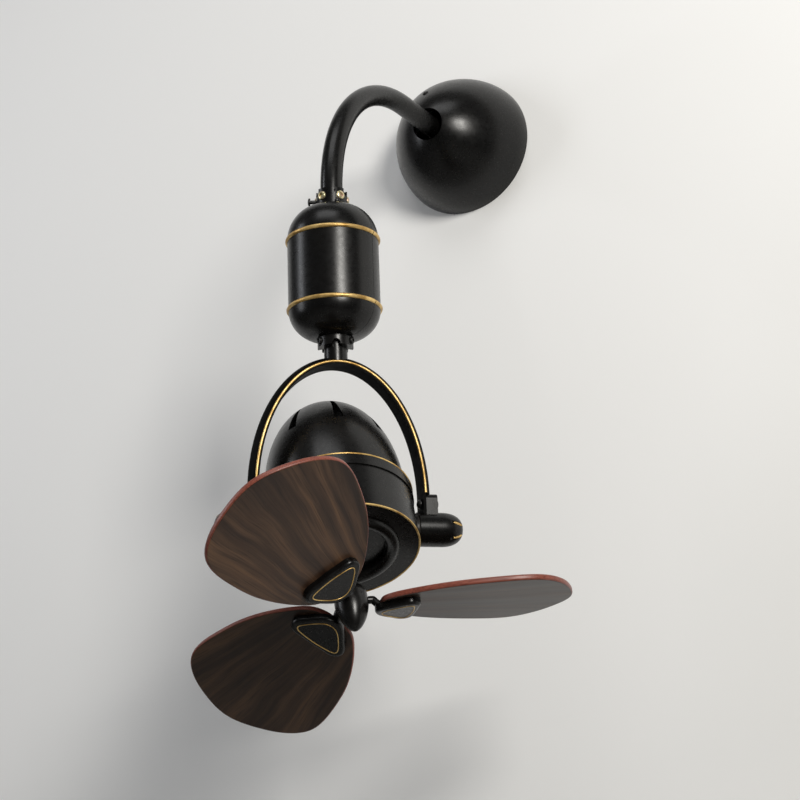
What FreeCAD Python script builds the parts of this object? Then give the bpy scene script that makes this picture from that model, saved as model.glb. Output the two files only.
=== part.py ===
import FreeCAD, Part
import math
import os

os.makedirs("parts", exist_ok=True)

V = FreeCAD.Vector

# Driving dimensions in millimetres and degrees.
# The wall is the plane y = 0, the fan stands out of it towards -y, and +z is up.

# Layout and rest pose
arm_reach = 297.0         # wall to the upright axis that the yoke turns about
arm_drop = 5.0            # arm's axis below the canopy's centre
yoke_turn = 44.2          # tilt axis from the wall's own direction, about +z
head_tilt = 26.0          # motor axis from straight down
blade_turn = -4.5         # first blade from the tilt axis, about the motor axis

# Clearances
fit_gap = 0.05            # pieces of one body that slide together
run_gap = 0.06            # shaft in its bearing
face_gap = 0.1            # thrust faces that turn on each other
cover_gap = 0.6           # casing round a piece that passes through it
quarter_points = 13       # points that carry a quarter of a rounded outline

# Wall bracket and cable grommet
bracket_r = 68.0
bracket_t = 3.0
wall_hole_pcd = 100.0
wall_hole_r = 2.75
wall_hole_count = 4
wall_hole_angle = 45.0
cable_hole_r = 12.0
grommet_bore_r = 7.5
grommet_lip = 2.5

# Canopy
canopy_r = 79.0
canopy_depth = 95.0
canopy_power = 1.75       # 2 is an ellipse, less is more pointed
canopy_wall = 1.5
canopy_opening_r = 18.0
canopy_lip = 4.0
canopy_screw_rho = 42.4   # distance of the canopy screw from the canopy's axis
canopy_screw_angle = 102.4
canopy_post_r = 7.0
canopy_screw_r = 2.0
canopy_screw_len = 8.0
canopy_screw_head_r = 3.4
canopy_screw_head_t = 1.4

# Arm and its flange
arm_r = 10.8
arm_wall = 2.4
bend_r = 154.0
arm_straight = 1.0        # upright run of the arm above its collar
flange_r = 34.0
flange_t = 5.0
socket_r = 17.0
socket_len = 26.0
flange_bolt_pcd = 52.0
flange_bolt_count = 4
flange_bolt_angle = 45.0
flange_bolt_r = 2.5
flange_bolt_head_r = 4.4
flange_bolt_head_t = 3.2
lock_screw_r = 2.5
lock_screw_out = 3.0

# Upper collar, clamped on the arm above the gearbox
collar_r = 15.0
collar_insert = 30.0      # length of arm inside the collar
collar_bolt_drop = 8.0
collar_bolt_r = 2.4
collar_bolt_head_r = 4.3
collar_bolt_head_t = 2.8
collar_bolt_angle = -97.0
collar_bolt_count = 5
collar_screw_r = 1.9
collar_screw_head_t = 2.4
# set screws, and one thumb screw: angle, drop below the collar's top, head radius, how far it stands out
collar_screws = ((-40.0, 14.6, 2.4, 1.2), (-145.0, 10.5, 3.8, 6.0), (88.0, 14.6, 2.4, 1.2))
notch_w = 9.0
notch_depth = 7.0
collar_flange_r = 25.0
collar_flange_t = 4.0
collar_flange_screw_count = 3
collar_flange_screw_pcd = 40.0
collar_flange_screw_r = 2.0

# Gearbox casing
gearbox_r = 44.0
shell_wall = 2.4
bead_r = 1.7
bead_drop = 51.4          # upper bead below the collar's top
bead_spacing = 69.8
shoulder_flat_r = 14.0
upper_shoulder_h = 34.0
lower_shoulder_h = 29.0
seam_gap = 0.5
shell_boss_r = 3.6
shell_boss_in = 1.0       # boss rim inside the casing's wall
shell_boss_rise = 14.0    # boss from the nearer bead
shell_screw_r = 1.4
shell_screw_head_r = 2.6
shell_screw_head_t = 1.8
shell_screw_seat = 7.0    # screw head's seat from the seam

# Gearbox frame
plate_t = 4.0
post_r = 4.0
post_spigot_r = 2.6
post_count = 3
post_inset = 8.0          # post axis in from the plates' rim
post_angle = 30.0
deck_drop = 36.0          # middle deck below the upper bead
deck_t = 3.0
bush_wall = 3.0
bush_flange_w = 1.8
bush_flange_t = 3.0

# Gear train
gear_module = 1.0
gear_teeth = 42
pinion_teeth = 12
gear_width = 8.0
pinion_extra = 1.5        # pinion wider than the gear, each side
gear_backlash = 0.35
gear_addendum = 0.8       # in modules
gear_dedendum = 1.3       # in modules
gear_pressure = 22.0
gear_hub_r = 15.5
pinion_shaft_r = 2.0
pinion_shaft_grip = 6.0
gear_motor_r = 9.5
gear_motor_h = 26.0
slip_ring_r = 14.0
slip_ring_h = 11.0
brush_w = 8.0
brush_d = 9.0
brush_air = 0.3

# Stem and lower collar
stem_r = 11.1
stem_wall = 2.6
lower_collar_r = 17.0
lower_collar_drop = 38.3  # collar's lower rim below the lower bead
lower_collar_h = 17.0
lower_notch_w = 8.0
lower_notch_depth = 5.0
lower_bolt_rise = 5.2
lower_bolt_r = 1.9
lower_bolt_head_r = 3.4
lower_bolt_head_t = 2.6
lower_bolt_angle = -40.0
lower_bolt_count = 3

# Yoke
yoke_clear = 7.0          # motor drum to the yoke's legs
crown_drop = 15.3         # yoke's crown below the lower collar
yoke_rise = 127.7         # height of the half ellipse
yoke_centre = 30.1        # ellipse's centre above the tilt axis
yoke_depth = 23.0
yoke_bar = 3.0            # thickness at the front and back edges
yoke_crown = 5.8          # outer face swells by this much
strip_w = 15.0
strip_t = 2.2

# Pivots
barrel_r = 16.0
barrel_clear = 2.6        # motor drum to the barrel's inner face
barrel_over = 4.0         # barrel's outer face past the lug
lug_t = 11.0
lug_seat = 0.3            # lug let into the leg's outer face
lug_half_d = 10.0
lug_top = 32.5
lug_corner_r = 5.0
clamp_screw_z = 24.0
clamp_screw_r = 2.5
clamp_head_r = 4.6
clamp_head_t = 3.0
clamp_nut_t = 3.6
trunnion_stud_r = 6.0
trunnion_boss_r = 13.0
trunnion_grip = 11.5      # stud inside the knob
washer_t = 0.8
trunnion_nut_r = 9.0
trunnion_nut_t = 5.0
knob_len = 21.2
knob_power = 2.4          # 2 is an ellipse, more is fuller
knob_flutes = 6
flute_angle = -22.0
flute_r = 1.7
flute_nose = (8.6, 20.5)  # flute's middle line: distance from the tilt axis, height on the knob
flute_foot = (16.6, 7.0)

# Motor housing, heights along the motor axis from the tilt axis, + towards the dome
drum_r = 70.0
drum_wall = 2.0
drum_low = -26.5
band_top = 31.0
band_h = 12.0
band_t = 1.2
dome_step = 4.0           # dome narrower than the drum
dome_h = 108.0
dome_power = 2.2
dome_wall = 2.0
vent_count = 8
vent_w = 9.0
vent_top_w = 3.0
vent_angle = -2.0
vent_low = 54.0           # vents' lower end above the band
vent_high = 94.0
band_screw_count = 3
band_screw_angle = -35.0
band_screw_r = 1.5
band_screw_head_r = 2.6
band_screw_head_t = 1.2
cover_t = 2.2
cover_ring_in = 25.0      # middle of the cover's round ring in from the drum
cover_ring_w = 13.0
cover_ring_drop = 5.0
cover_recess = 4.5
bearing_r = 13.0
bearing_h = 9.0
bearing_cup_wall = 3.0

# Motor inside
stator_low = 11.0
stator_h = 18.0
stator_depth = 32.0
rotor_gap = 0.5
rotor_over = 2.0
winding_in = 1.0          # middle of the windings in from the core's middle
winding_w = 16.0
winding_h = 8.0
end_plate_t = 3.0
end_plate_in = 4.5        # end plate's rim in from the dome
end_plate_rise = 13.0     # end plate above the stator core
end_post_r = 4.0
end_post_count = 3
end_post_in = 12.0        # posts in from the drum's inside
end_post_angle = 30.0
capacitor_r = 11.0
capacitor_h = 26.0
capacitor_in = 28.5       # capacitor in from the end plate's rim

# Fan
shaft_r = 5.0
hub_clear = 5.5           # hub's top below the motor cover's ring
hub_len = 42.0
hub_neck_r = 7.5
hub_drum_r = 15.0
hub_rim_h = 2.0
hub_shoulder_h = 10.0
iron_root_t = 3.2
iron_bend = 19.5          # radius at which an iron's neck turns down to its pad
iron_screw_r = 1.6
iron_screw_head_r = 2.6
iron_screw_rho = 11.0
iron_screw_grip = 7.0
iron_neck_t = 7.0
iron_split = 1.0          # half the angle between neighbouring iron roots
blade_count = 3
blade_drop = 4.8          # blade's middle below the underside of the hub
blade_t = 5.2
blade_pitch = 20.9
blade_edge_r = 1.6
pad_t = 7.0
pad_edge_r = 3.0
blade_screw_r = 2.0
blade_screw_head_r = 4.0
blade_screw_head_t = 2.0
blade_screw_bite = 4.5    # screw inside the pad
blade_screw_places = ((33.0, 0.0), (49.0, 13.0), (49.0, -13.0))
spinner_r = 15.2
spinner_shoulder = 2.0
spinner_len = 30.5
spinner_grip = 10.0       # shaft inside the spinner cap
spinner_power = 1.6       # 2 is an ellipse, less is more pointed

# Half outlines of a blade and of an iron's pad: radius from the fan's axis, half width
blade_outline = ((25.0, 0.0), (25.5, 13.0), (29.5, 22.5), (40.0, 33.0), (62.0, 47.5), (90.0, 60.0),
                 (118.0, 67.0), (143.0, 70.3), (158.0, 68.5), (170.0, 62.0), (182.0, 49.5), (193.0, 30.0),
                 (201.0, 0.0))
pad_outline = ((20.5, 0.0), (24.5, 10.5), (38.0, 22.0), (49.0, 28.0), (56.5, 24.0), (58.5, 12.0),
               (59.0, 0.0))

# Levels that follow from one another down the fan, and widths that follow from the motor drum
collar_top = -(arm_drop + bend_r + arm_straight)
upper_bead_z = collar_top - bead_drop
lower_bead_z = upper_bead_z - bead_spacing
lower_collar_low = lower_bead_z - lower_collar_drop
crown_z = lower_collar_low - crown_drop
tilt_z = crown_z - yoke_rise - yoke_centre
yoke_half_w = drum_r + yoke_clear + yoke_bar
drum_in = drum_r - drum_wall
dome_r = drum_r - dome_step
hub_top = drum_low - cover_ring_drop - hub_clear
iron_root_z = hub_top - hub_len
blade_z = iron_root_z - blade_drop


# Helpers

def spot(r, z):
    return V(r, 0, z)


def straight(*points):
    return [Part.makeLine(a, b) for a, b in zip(points, points[1:])]


def curve(points):
    line = Part.BSplineCurve()
    line.interpolate(points)
    return [line.toShape()]


def arc(start, middle, end):
    return [Part.Arc(start, middle, end).toShape()]


def turned(edges):
    return Part.Face(Part.Wire(edges)).revolve(V(0, 0, 0), V(0, 0, 1), 360)


def cylinder(r, low, high, x=0.0, y=0.0):
    return Part.makeCylinder(r, high - low, V(x, y, low))


def ring(outer, inner, low, high):
    return cylinder(outer, low, high).cut(cylinder(inner, low, high))


def rod(r, start, end):
    return Part.makeCylinder(r, (end - start).Length, start, end - start)


def block(x0, x1, y0, y1, z0, z1):
    return Part.makeBox(x1 - x0, y1 - y0, z1 - z0, V(x0, y0, z0))


def turn(shape, angle, axis=V(0, 0, 1)):
    moved = shape.copy()
    moved.rotate(V(0, 0, 0), axis, angle)
    return moved


def shift(shape, x=0.0, y=0.0, z=0.0):
    moved = shape.copy()
    moved.translate(V(x, y, z))
    return moved


def round_places(count, pcd, first=0.0):
    angles = [math.radians(first + 360.0 * k / count) for k in range(count)]
    return [(pcd / 2 * math.cos(a), pcd / 2 * math.sin(a)) for a in angles]


def cut_all(shape, tools):
    return shape.cut(Part.makeCompound(tools))


def group(solids):
    return Part.makeCompound(solids)


def quarter(r0, z0, width, height, power=2.0):
    # points of a quarter of an ellipse, from its widest place up to its top
    points = []
    for k in range(quarter_points):
        a = math.pi / 2 * k / (quarter_points - 1)
        across = width * math.cos(a) ** (2 / power)
        points.append(spot(r0 + across, z0 + height * math.sin(a) ** (2 / power)))
    return points


def screw(r, length, head_r, head_t):
    # round-headed screw along +z, head's seat at z = 0 and shank below it
    crown = quarter(0, head_t / 2, head_r, head_t / 2)
    head = straight(spot(0, 0), spot(head_r, 0), crown[0]) + curve(crown) + straight(crown[-1], spot(0, 0))
    return turned(head).fuse(cylinder(r, -length, 0)).removeSplitter()


def radial(shape, rho, z, angle):
    # lays a shape made along +z out along a radius
    laid = shift(turn(shape, 90, V(0, 1, 0)), rho, 0, z)
    return turn(laid, angle)


# Frames of the bodies

def at_wall(shape):
    # local z points out of the wall, local y points up
    return turn(shape, 90, V(1, 0, 0))


def at_axis(shape):
    return shift(shape, 0, -arm_reach, 0)


def at_yoke(shape):
    return shift(turn(shape, yoke_turn), 0, -arm_reach, tilt_z)


def at_head(shape):
    return at_yoke(turn(shape, -head_tilt, V(1, 0, 0)))


def at_fan(shape):
    return at_head(turn(shape, blade_turn))


# Wall bracket, canopy and arm

arm_back = bracket_t + flange_t
socket_end = bracket_t + socket_len
lock_screw_z = (arm_back + socket_end) / 2
flange_places = round_places(flange_bolt_count, flange_bolt_pcd, flange_bolt_angle)


def off_arm(shape):
    return shift(shape, 0, -arm_drop, 0)


def wall_bracket():
    places = round_places(wall_hole_count, wall_hole_pcd, wall_hole_angle)
    holes = [cylinder(wall_hole_r, 0, bracket_t, x, y) for x, y in places]
    holes += [off_arm(cylinder(flange_bolt_r + fit_gap, 0, bracket_t, x, y)) for x, y in flange_places]
    holes.append(off_arm(cylinder(cable_hole_r, 0, bracket_t)))
    return at_wall(cut_all(cylinder(bracket_r, 0, bracket_t), holes))


def cable_grommet():
    sleeve = cylinder(cable_hole_r - fit_gap, 0, bracket_t)
    sleeve = sleeve.fuse(cylinder(arm_r - fit_gap, bracket_t, bracket_t + grommet_lip))
    return at_wall(off_arm(sleeve.cut(cylinder(grommet_bore_r, 0, bracket_t + grommet_lip))))


def arm_flange():
    body = cylinder(flange_r, bracket_t, arm_back).fuse(cylinder(socket_r, bracket_t, socket_end))
    tools = [cylinder(arm_r + fit_gap, bracket_t, socket_end)]
    tools += [cylinder(flange_bolt_r + fit_gap, bracket_t, arm_back, x, y) for x, y in flange_places]
    tools += [radial(cylinder(lock_screw_r + fit_gap, 0, socket_r), 0, lock_screw_z, a) for a in (0, 180)]
    return at_wall(off_arm(cut_all(body, tools)))


def flange_bolts():
    bolt = screw(flange_bolt_r, flange_t + bracket_t, flange_bolt_head_r, flange_bolt_head_t)
    return at_wall(off_arm(group([shift(bolt, x, y, arm_back) for x, y in flange_places])))


def arm_lock_screws():
    length = socket_r + lock_screw_out - arm_r - fit_gap
    stud = cylinder(lock_screw_r, 0, length)
    return at_wall(off_arm(group([radial(stud, arm_r + fit_gap, lock_screw_z, a) for a in (0, 180)])))


def bowl(inset):
    # solid dome, the canopy's outside drawn in by inset
    side = quarter(0, 0, canopy_r - inset, canopy_depth - inset, canopy_power)
    return turned(curve(side) + straight(side[-1], spot(0, 0), side[0]))


def canopy_point(rho):
    return canopy_depth * (1 - (rho / canopy_r) ** canopy_power) ** (1 / canopy_power)


def on_canopy(shape):
    # lays a shape made along +z on the canopy's outside, along its normal
    z = canopy_point(canopy_screw_rho)
    outward = (canopy_screw_rho / canopy_r) ** (canopy_power - 1) / canopy_r
    forward = (z / canopy_depth) ** (canopy_power - 1) / canopy_depth
    lean = math.degrees(math.atan2(outward, forward))
    return turn(shift(turn(shape, lean, V(0, 1, 0)), canopy_screw_rho, 0, z), canopy_screw_angle)


def canopy_screw_hole():
    return on_canopy(cylinder(canopy_screw_r + fit_gap, -canopy_screw_len, canopy_screw_len))


def wall_canopy():
    shell = bowl(0).cut(bowl(canopy_wall))
    mouth = canopy_point(canopy_opening_r + arm_drop)
    lip = ring(canopy_opening_r + canopy_wall, canopy_opening_r, mouth - canopy_lip, canopy_depth)
    shell = shell.cut(off_arm(cylinder(canopy_opening_r, 0, canopy_depth)))
    shell = shell.fuse(off_arm(lip).common(bowl(0))).removeSplitter()
    return at_wall(shell.cut(canopy_screw_hole()))


def canopy_post():
    post = cylinder(canopy_post_r, bracket_t, canopy_depth, canopy_screw_rho)
    post = turn(post, canopy_screw_angle).common(bowl(canopy_wall + fit_gap))
    return at_wall(post.cut(canopy_screw_hole()))


def canopy_screw():
    reach = canopy_screw_len - fit_gap
    return at_wall(on_canopy(screw(canopy_screw_r, reach, canopy_screw_head_r, canopy_screw_head_t)))


arm_end = collar_top - collar_insert


def pipe(r):
    straight_end = arm_reach - bend_r
    top = V(0, -arm_back, -arm_drop)
    start = V(0, -straight_end, -arm_drop)
    half = bend_r * math.sqrt(0.5)
    middle = V(0, -straight_end - half, -arm_drop - bend_r + half)
    end = V(0, -arm_reach, -arm_drop - bend_r)
    low = V(0, -arm_reach, arm_end)
    path = Part.Wire(straight(top, start) + arc(start, middle, end) + straight(end, low))
    section = Part.Wire(Part.makeCircle(r, top, V(0, 1, 0)))
    return path.makePipeShell([section], True, False)


def arm_tube():
    return pipe(arm_r).cut(pipe(arm_r - arm_wall))


# Gearbox

plate_r = gearbox_r - shell_wall - cover_gap
top_plate_low = upper_bead_z - plate_t / 2
top_plate_high = upper_bead_z + plate_t / 2
low_plate_low = lower_bead_z - plate_t / 2
low_plate_high = lower_bead_z + plate_t / 2
deck_high = upper_bead_z - deck_drop
deck_low = deck_high - deck_t
collar_flange_high = top_plate_high + collar_flange_t
gear_centres = gear_module * (gear_teeth + pinion_teeth) / 2
bush_r = stem_r + run_gap + bush_wall
bush_rim_r = bush_r + bush_flange_w
gear_low = deck_low - face_gap - pinion_extra - gear_width
post_places = round_places(post_count, 2 * (plate_r - post_inset), post_angle)
flange_screw_places = round_places(collar_flange_screw_count, collar_flange_screw_pcd, post_angle)


def head_seat(collar, head):
    # flat under a round head on a round collar
    return math.sqrt(collar ** 2 - (head + fit_gap) ** 2)


def round_angles(count, first):
    return [first + 360.0 * k / count for k in range(count)]


def notches(collar, width, depth, rim, side, count, first):
    # round-bottomed notches between the ears, side is +1 for a rim that points up
    floor = rim - side * (depth - width / 2)
    slot = rod(width / 2, V(0, 0, floor), V(collar + width, 0, floor))
    low, high = min(floor, rim + side), max(floor, rim + side)
    slot = slot.fuse(block(0, collar + width, -width / 2, width / 2, low, high))
    return [turn(slot, first + 360.0 * (k + 0.5) / count) for k in range(count)]


def collar_seats(collar, r, head_r, z, angles):
    seat = head_seat(collar, head_r)
    spot_face = cylinder(head_r + fit_gap, seat, collar + head_r)
    tool = cylinder(r + fit_gap, 0, collar).fuse(spot_face)
    return [radial(tool, 0, z, a) for a in angles]


def upper_collar():
    body = cylinder(collar_r, top_plate_high, collar_top)
    body = body.fuse(cylinder(collar_flange_r, top_plate_high, collar_flange_high))
    tools = [cylinder(arm_r + fit_gap, arm_end, collar_top)]
    tools.append(cylinder(arm_r - arm_wall, top_plate_high, arm_end))
    tools += notches(collar_r, notch_w, notch_depth, collar_top, 1, collar_bolt_count, collar_bolt_angle)
    angles = round_angles(collar_bolt_count, collar_bolt_angle)
    bolt_z = collar_top - collar_bolt_drop
    tools += collar_seats(collar_r, collar_bolt_r, collar_bolt_head_r, bolt_z, angles)
    screw_hole = cylinder(collar_screw_r + fit_gap, 0, collar_r)
    tools += [radial(screw_hole, 0, collar_top - drop, angle) for angle, drop, head_r, out in collar_screws]
    for x, y in flange_screw_places:
        tools.append(cylinder(collar_flange_screw_r + fit_gap, top_plate_high, collar_flange_high, x, y))
    return at_axis(cut_all(body, tools))


def upper_collar_bolts():
    seat = head_seat(collar_r, collar_bolt_head_r)
    bolt = screw(collar_bolt_r, seat - arm_r - fit_gap, collar_bolt_head_r, collar_bolt_head_t)
    angles = round_angles(collar_bolt_count, collar_bolt_angle)
    return at_axis(group([radial(bolt, seat, collar_top - collar_bolt_drop, a) for a in angles]))


def upper_set_screws():
    made = []
    for angle, drop, head_r, out in collar_screws:
        seat = collar_r + out
        one = screw(collar_screw_r, seat - arm_r - fit_gap, head_r, collar_screw_head_t)
        made.append(radial(one, seat, collar_top - drop, angle))
    return at_axis(group(made))


def collar_flange_screws():
    length = collar_flange_t + plate_t
    one = screw(collar_flange_screw_r, length, collar_flange_screw_r * 2, collar_flange_screw_r)
    return at_axis(group([shift(one, x, y, collar_flange_high) for x, y in flange_screw_places]))


def casing(inset):
    # solid outline of the gearbox drawn in by inset
    r = gearbox_r - inset
    width = gearbox_r - shoulder_flat_r - inset
    top = quarter(shoulder_flat_r, upper_bead_z, width, upper_shoulder_h - inset)
    low = quarter(shoulder_flat_r, lower_bead_z, width, inset - lower_shoulder_h)
    edges = straight(spot(0, low[-1].z), low[-1]) + curve(low[::-1])
    edges += straight(low[0], spot(r, upper_bead_z)) + curve(top)
    edges += straight(top[-1], spot(0, top[-1].z), spot(0, low[-1].z))
    return turned(edges)


def boss_places():
    x = gearbox_r - shell_wall - shell_boss_in - shell_boss_r
    levels = (upper_bead_z - shell_boss_rise, lower_bead_z + shell_boss_rise)
    return [(side * x, z) for side in (-1, 1) for z in levels]


def gearbox_shell(side):
    # one half of the clamshell, side is -1 in front of the seam and +1 behind it
    inside = casing(shell_wall)
    outside = casing(0)
    for z in (upper_bead_z, lower_bead_z):
        outside = outside.fuse(Part.makeTorus(gearbox_r, bead_r, V(0, 0, z)))
    shell = outside.cut(inside)
    bosses = [rod(shell_boss_r, V(x, 0, z), V(x, side * gearbox_r, z)) for x, z in boss_places()]
    shell = shell.fuse([boss.common(inside) for boss in bosses])
    tools = [cylinder(collar_r + cover_gap, upper_bead_z, collar_top)]
    tools.append(cylinder(lower_collar_r + cover_gap, lower_collar_low, lower_bead_z))
    far = 2 * gearbox_r
    near_y, far_y = sorted((side * seam_gap / 2, -side * far))
    tools.append(block(-far, far, near_y, far_y, lower_bead_z - far, upper_bead_z + far))
    for x, z in boss_places():
        tools.append(rod(shell_screw_r + fit_gap, V(x, -shell_screw_seat, z), V(x, shell_screw_seat, z)))
        head = shell_screw_head_r + fit_gap
        tools.append(rod(head, V(x, shell_screw_seat, z), V(x, gearbox_r, z)))
    return at_axis(cut_all(shell, tools).removeSplitter())


def gearbox_shell_screws():
    one = screw(shell_screw_r, 2 * shell_screw_seat - fit_gap, shell_screw_head_r, shell_screw_head_t)
    one = turn(one, -90, V(1, 0, 0))
    return at_axis(group([shift(one, x, shell_screw_seat, z) for x, z in boss_places()]))


def frame_plate(low, high, bore, extra):
    plate = cylinder(plate_r, low, high)
    holes = [cylinder(bore, low, high)]
    holes += [cylinder(post_spigot_r + fit_gap, low, high, x, y) for x, y in post_places]
    return cut_all(plate, holes + extra)


def gearbox_top_plate():
    holes = []
    for x, y in flange_screw_places:
        holes.append(cylinder(collar_flange_screw_r + fit_gap, top_plate_low, top_plate_high, x, y))
    return at_axis(frame_plate(top_plate_low, top_plate_high, arm_r - arm_wall, holes))


def gearbox_deck():
    hole = cylinder(pinion_shaft_r + cover_gap, deck_low, deck_high, 0, gear_centres)
    return at_axis(frame_plate(deck_low, deck_high, bush_r + fit_gap, [hole]))


def gearbox_bottom_plate():
    return at_axis(frame_plate(low_plate_low, low_plate_high, bush_r + fit_gap, []))


def gearbox_posts():
    made = []
    for x, y in post_places:
        post = cylinder(post_spigot_r, low_plate_low, top_plate_high, x, y)
        post = post.fuse(cylinder(post_r, low_plate_high, deck_low, x, y))
        made.append(post.fuse(cylinder(post_r, deck_high, top_plate_low, x, y)).removeSplitter())
    return at_axis(group(made))


def spindle_bush(plate_low, plate_high):
    rim_high = plate_high + bush_flange_t
    body = cylinder(bush_r, plate_low, plate_high).fuse(cylinder(bush_rim_r, plate_high, rim_high))
    return at_axis(body.cut(cylinder(stem_r + run_gap, plate_low, rim_high)))


def spindle_bushes():
    return group([spindle_bush(deck_low, deck_high), spindle_bush(low_plate_low, low_plate_high)])


def gear_motor():
    body = cylinder(gear_motor_r, deck_high, deck_high + gear_motor_h)
    body = body.cut(cylinder(pinion_shaft_r + run_gap, deck_high, deck_high + pinion_shaft_grip))
    return at_axis(shift(body, 0, gear_centres))


def tooth_half(teeth, r):
    # half a tooth's angle at radius r, on an involute flank
    pitch_r = gear_module * teeth / 2
    base = pitch_r * math.cos(math.radians(gear_pressure))
    lean = math.acos(min(1.0, base / max(r, base)))
    at_pitch = math.radians(gear_pressure)
    thick = math.pi * gear_module / 2 - gear_backlash / 2
    return thick / (2 * pitch_r) + math.tan(at_pitch) - at_pitch - math.tan(lean) + lean


def gear_blank(teeth, low, high, first):
    pitch_r = gear_module * teeth / 2
    radii = (pitch_r - gear_dedendum * gear_module, pitch_r, pitch_r + gear_addendum * gear_module)
    points = []
    for k in range(teeth):
        middle = math.radians(first) + 2 * math.pi * k / teeth
        flank = [(r, tooth_half(teeth, r)) for r in radii]
        corners = [(r, middle - half) for r, half in flank]
        corners += [(r, middle + half) for r, half in flank[::-1]]
        points += [V(r * math.cos(a), r * math.sin(a), low) for r, a in corners]
    points.append(points[0])
    return Part.Face(Part.makePolygon(points)).extrude(V(0, 0, high - low))


def output_gear():
    # a tooth gap faces the pinion, which stands on +y
    wheel = gear_blank(gear_teeth, gear_low, gear_low + gear_width, 90 + 180.0 / gear_teeth)
    hub_low = low_plate_high + bush_flange_t + face_gap
    wheel = wheel.fuse(cylinder(gear_hub_r, hub_low, gear_low))
    return at_axis(wheel.cut(cylinder(stem_r + fit_gap, hub_low, gear_low + gear_width)))


def drive_pinion():
    low = gear_low - pinion_extra
    high = gear_low + gear_width + pinion_extra
    wheel = gear_blank(pinion_teeth, low, high, -90)
    wheel = wheel.fuse(cylinder(pinion_shaft_r, high, deck_high + pinion_shaft_grip - face_gap))
    return at_axis(shift(wheel, 0, gear_centres))


slip_low = deck_high + bush_flange_t + face_gap
stem_top = slip_low + slip_ring_h


def slip_ring():
    return at_axis(ring(slip_ring_r, stem_r + fit_gap, slip_low, stem_top))


def brush_block():
    x = -slip_ring_r - brush_air
    body = block(x - brush_d, x, -brush_w / 2, brush_w / 2, deck_high, stem_top)
    return at_axis(body.cut(cylinder(bush_rim_r + cover_gap, deck_high, slip_low)))


# Yoke: local x is the tilt axis, local -y is its front, z = 0 is the tilt axis

def bar_path(leg_low):
    right = V(yoke_half_w, 0, yoke_centre)
    left = V(-yoke_half_w, 0, yoke_centre)
    whole = Part.Ellipse(V(0, 0, yoke_centre + yoke_rise), right, V(0, 0, yoke_centre))
    span = Part.ArcOfEllipse(whole, -math.pi / 2, math.pi / 2).toShape()
    if span.valueAt(span.FirstParameter).x < 0:
        span = span.reversed()
    edges = [span]
    if leg_low is not None:
        edges += straight(V(yoke_half_w, 0, leg_low), right)
        edges += straight(left, V(-yoke_half_w, 0, leg_low))
    return Part.Wire(Part.sortEdges(edges)[0])


def bar_section(inner, outer, half_depth, crown, z):
    inside = yoke_half_w - inner
    face = yoke_half_w - outer
    corners = [V(face, half_depth, z), V(inside, half_depth, z)]
    corners += [V(inside, -half_depth, z), V(face, -half_depth, z)]
    if crown:
        back = arc(corners[3], V(face + crown, 0, z), corners[0])
    else:
        back = straight(corners[3], corners[0])
    return Part.Wire(straight(*corners) + back)


def swept(leg_low, inner, outer, half_depth, crown):
    z = yoke_centre if leg_low is None else leg_low
    section = bar_section(inner, outer, half_depth, crown, z)
    return bar_path(leg_low).makePipeShell([section], True, False)


def pivot_cutters(side):
    # what the pivot takes out of a leg: the barrel's saddle, the lug's seat and the clamp screw's hole
    barrel = rod(barrel_r + fit_gap, V(0, 0, 0), V(side * 2 * yoke_half_w, 0, 0))
    out = yoke_half_w + yoke_crown + lug_t
    near, far = sorted((side * (yoke_half_w - lug_seat), side * out))
    seat = block(near, far, -yoke_depth, yoke_depth, 0, lug_top + fit_gap)
    hole = rod(clamp_screw_r + fit_gap, V(0, 0, clamp_screw_z), V(side * out, 0, clamp_screw_z))
    return [barrel, seat, hole]


def yoke_arch():
    arch = swept(0, yoke_bar, 0, yoke_depth / 2, yoke_crown)
    channel = swept(None, yoke_bar + fit_gap, yoke_bar - strip_t, strip_w / 2 + fit_gap, 0)
    return at_yoke(cut_all(arch.cut(channel), pivot_cutters(1) + pivot_cutters(-1)))


def yoke_inner_strip():
    return at_yoke(swept(None, yoke_bar, yoke_bar - strip_t + fit_gap, strip_w / 2, 0))


def stem_tube():
    arch = at_yoke(swept(0, yoke_bar, 0, yoke_depth / 2, yoke_crown))
    tube = ring(stem_r, stem_r - stem_wall, crown_z, stem_top)
    return at_axis(tube).cut(arch)


def lower_bolt_angles():
    return [yoke_turn + a for a in round_angles(lower_bolt_count, lower_bolt_angle)]


def lower_collar():
    body = cylinder(lower_collar_r, lower_collar_low, lower_collar_low + lower_collar_h)
    first = yoke_turn + lower_bolt_angle
    tools = [cylinder(stem_r + fit_gap, lower_collar_low, lower_collar_low + lower_collar_h)]
    rim = lower_collar_low
    tools += notches(lower_collar_r, lower_notch_w, lower_notch_depth, rim, -1, lower_bolt_count, first)
    z = lower_collar_low + lower_bolt_rise
    tools += collar_seats(lower_collar_r, lower_bolt_r, lower_bolt_head_r, z, lower_bolt_angles())
    return at_axis(cut_all(body, tools))


def lower_collar_bolts():
    seat = head_seat(lower_collar_r, lower_bolt_head_r)
    bolt = screw(lower_bolt_r, seat - stem_r - fit_gap, lower_bolt_head_r, lower_bolt_head_t)
    z = lower_collar_low + lower_bolt_rise
    return at_axis(group([radial(bolt, seat, z, a) for a in lower_bolt_angles()]))


# Pivots, made on the +x side and turned half round for the other

barrel_in = drum_r + barrel_clear
barrel_out = yoke_half_w + lug_t + barrel_over
washer_in = barrel_in - face_gap / 2 - washer_t
knob_in = barrel_out + face_gap
stud_end = knob_in + trunnion_grip
lug_out = yoke_half_w + lug_t


def pivot(shape, side):
    return shape if side > 0 else turn(shape, 180)


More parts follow.
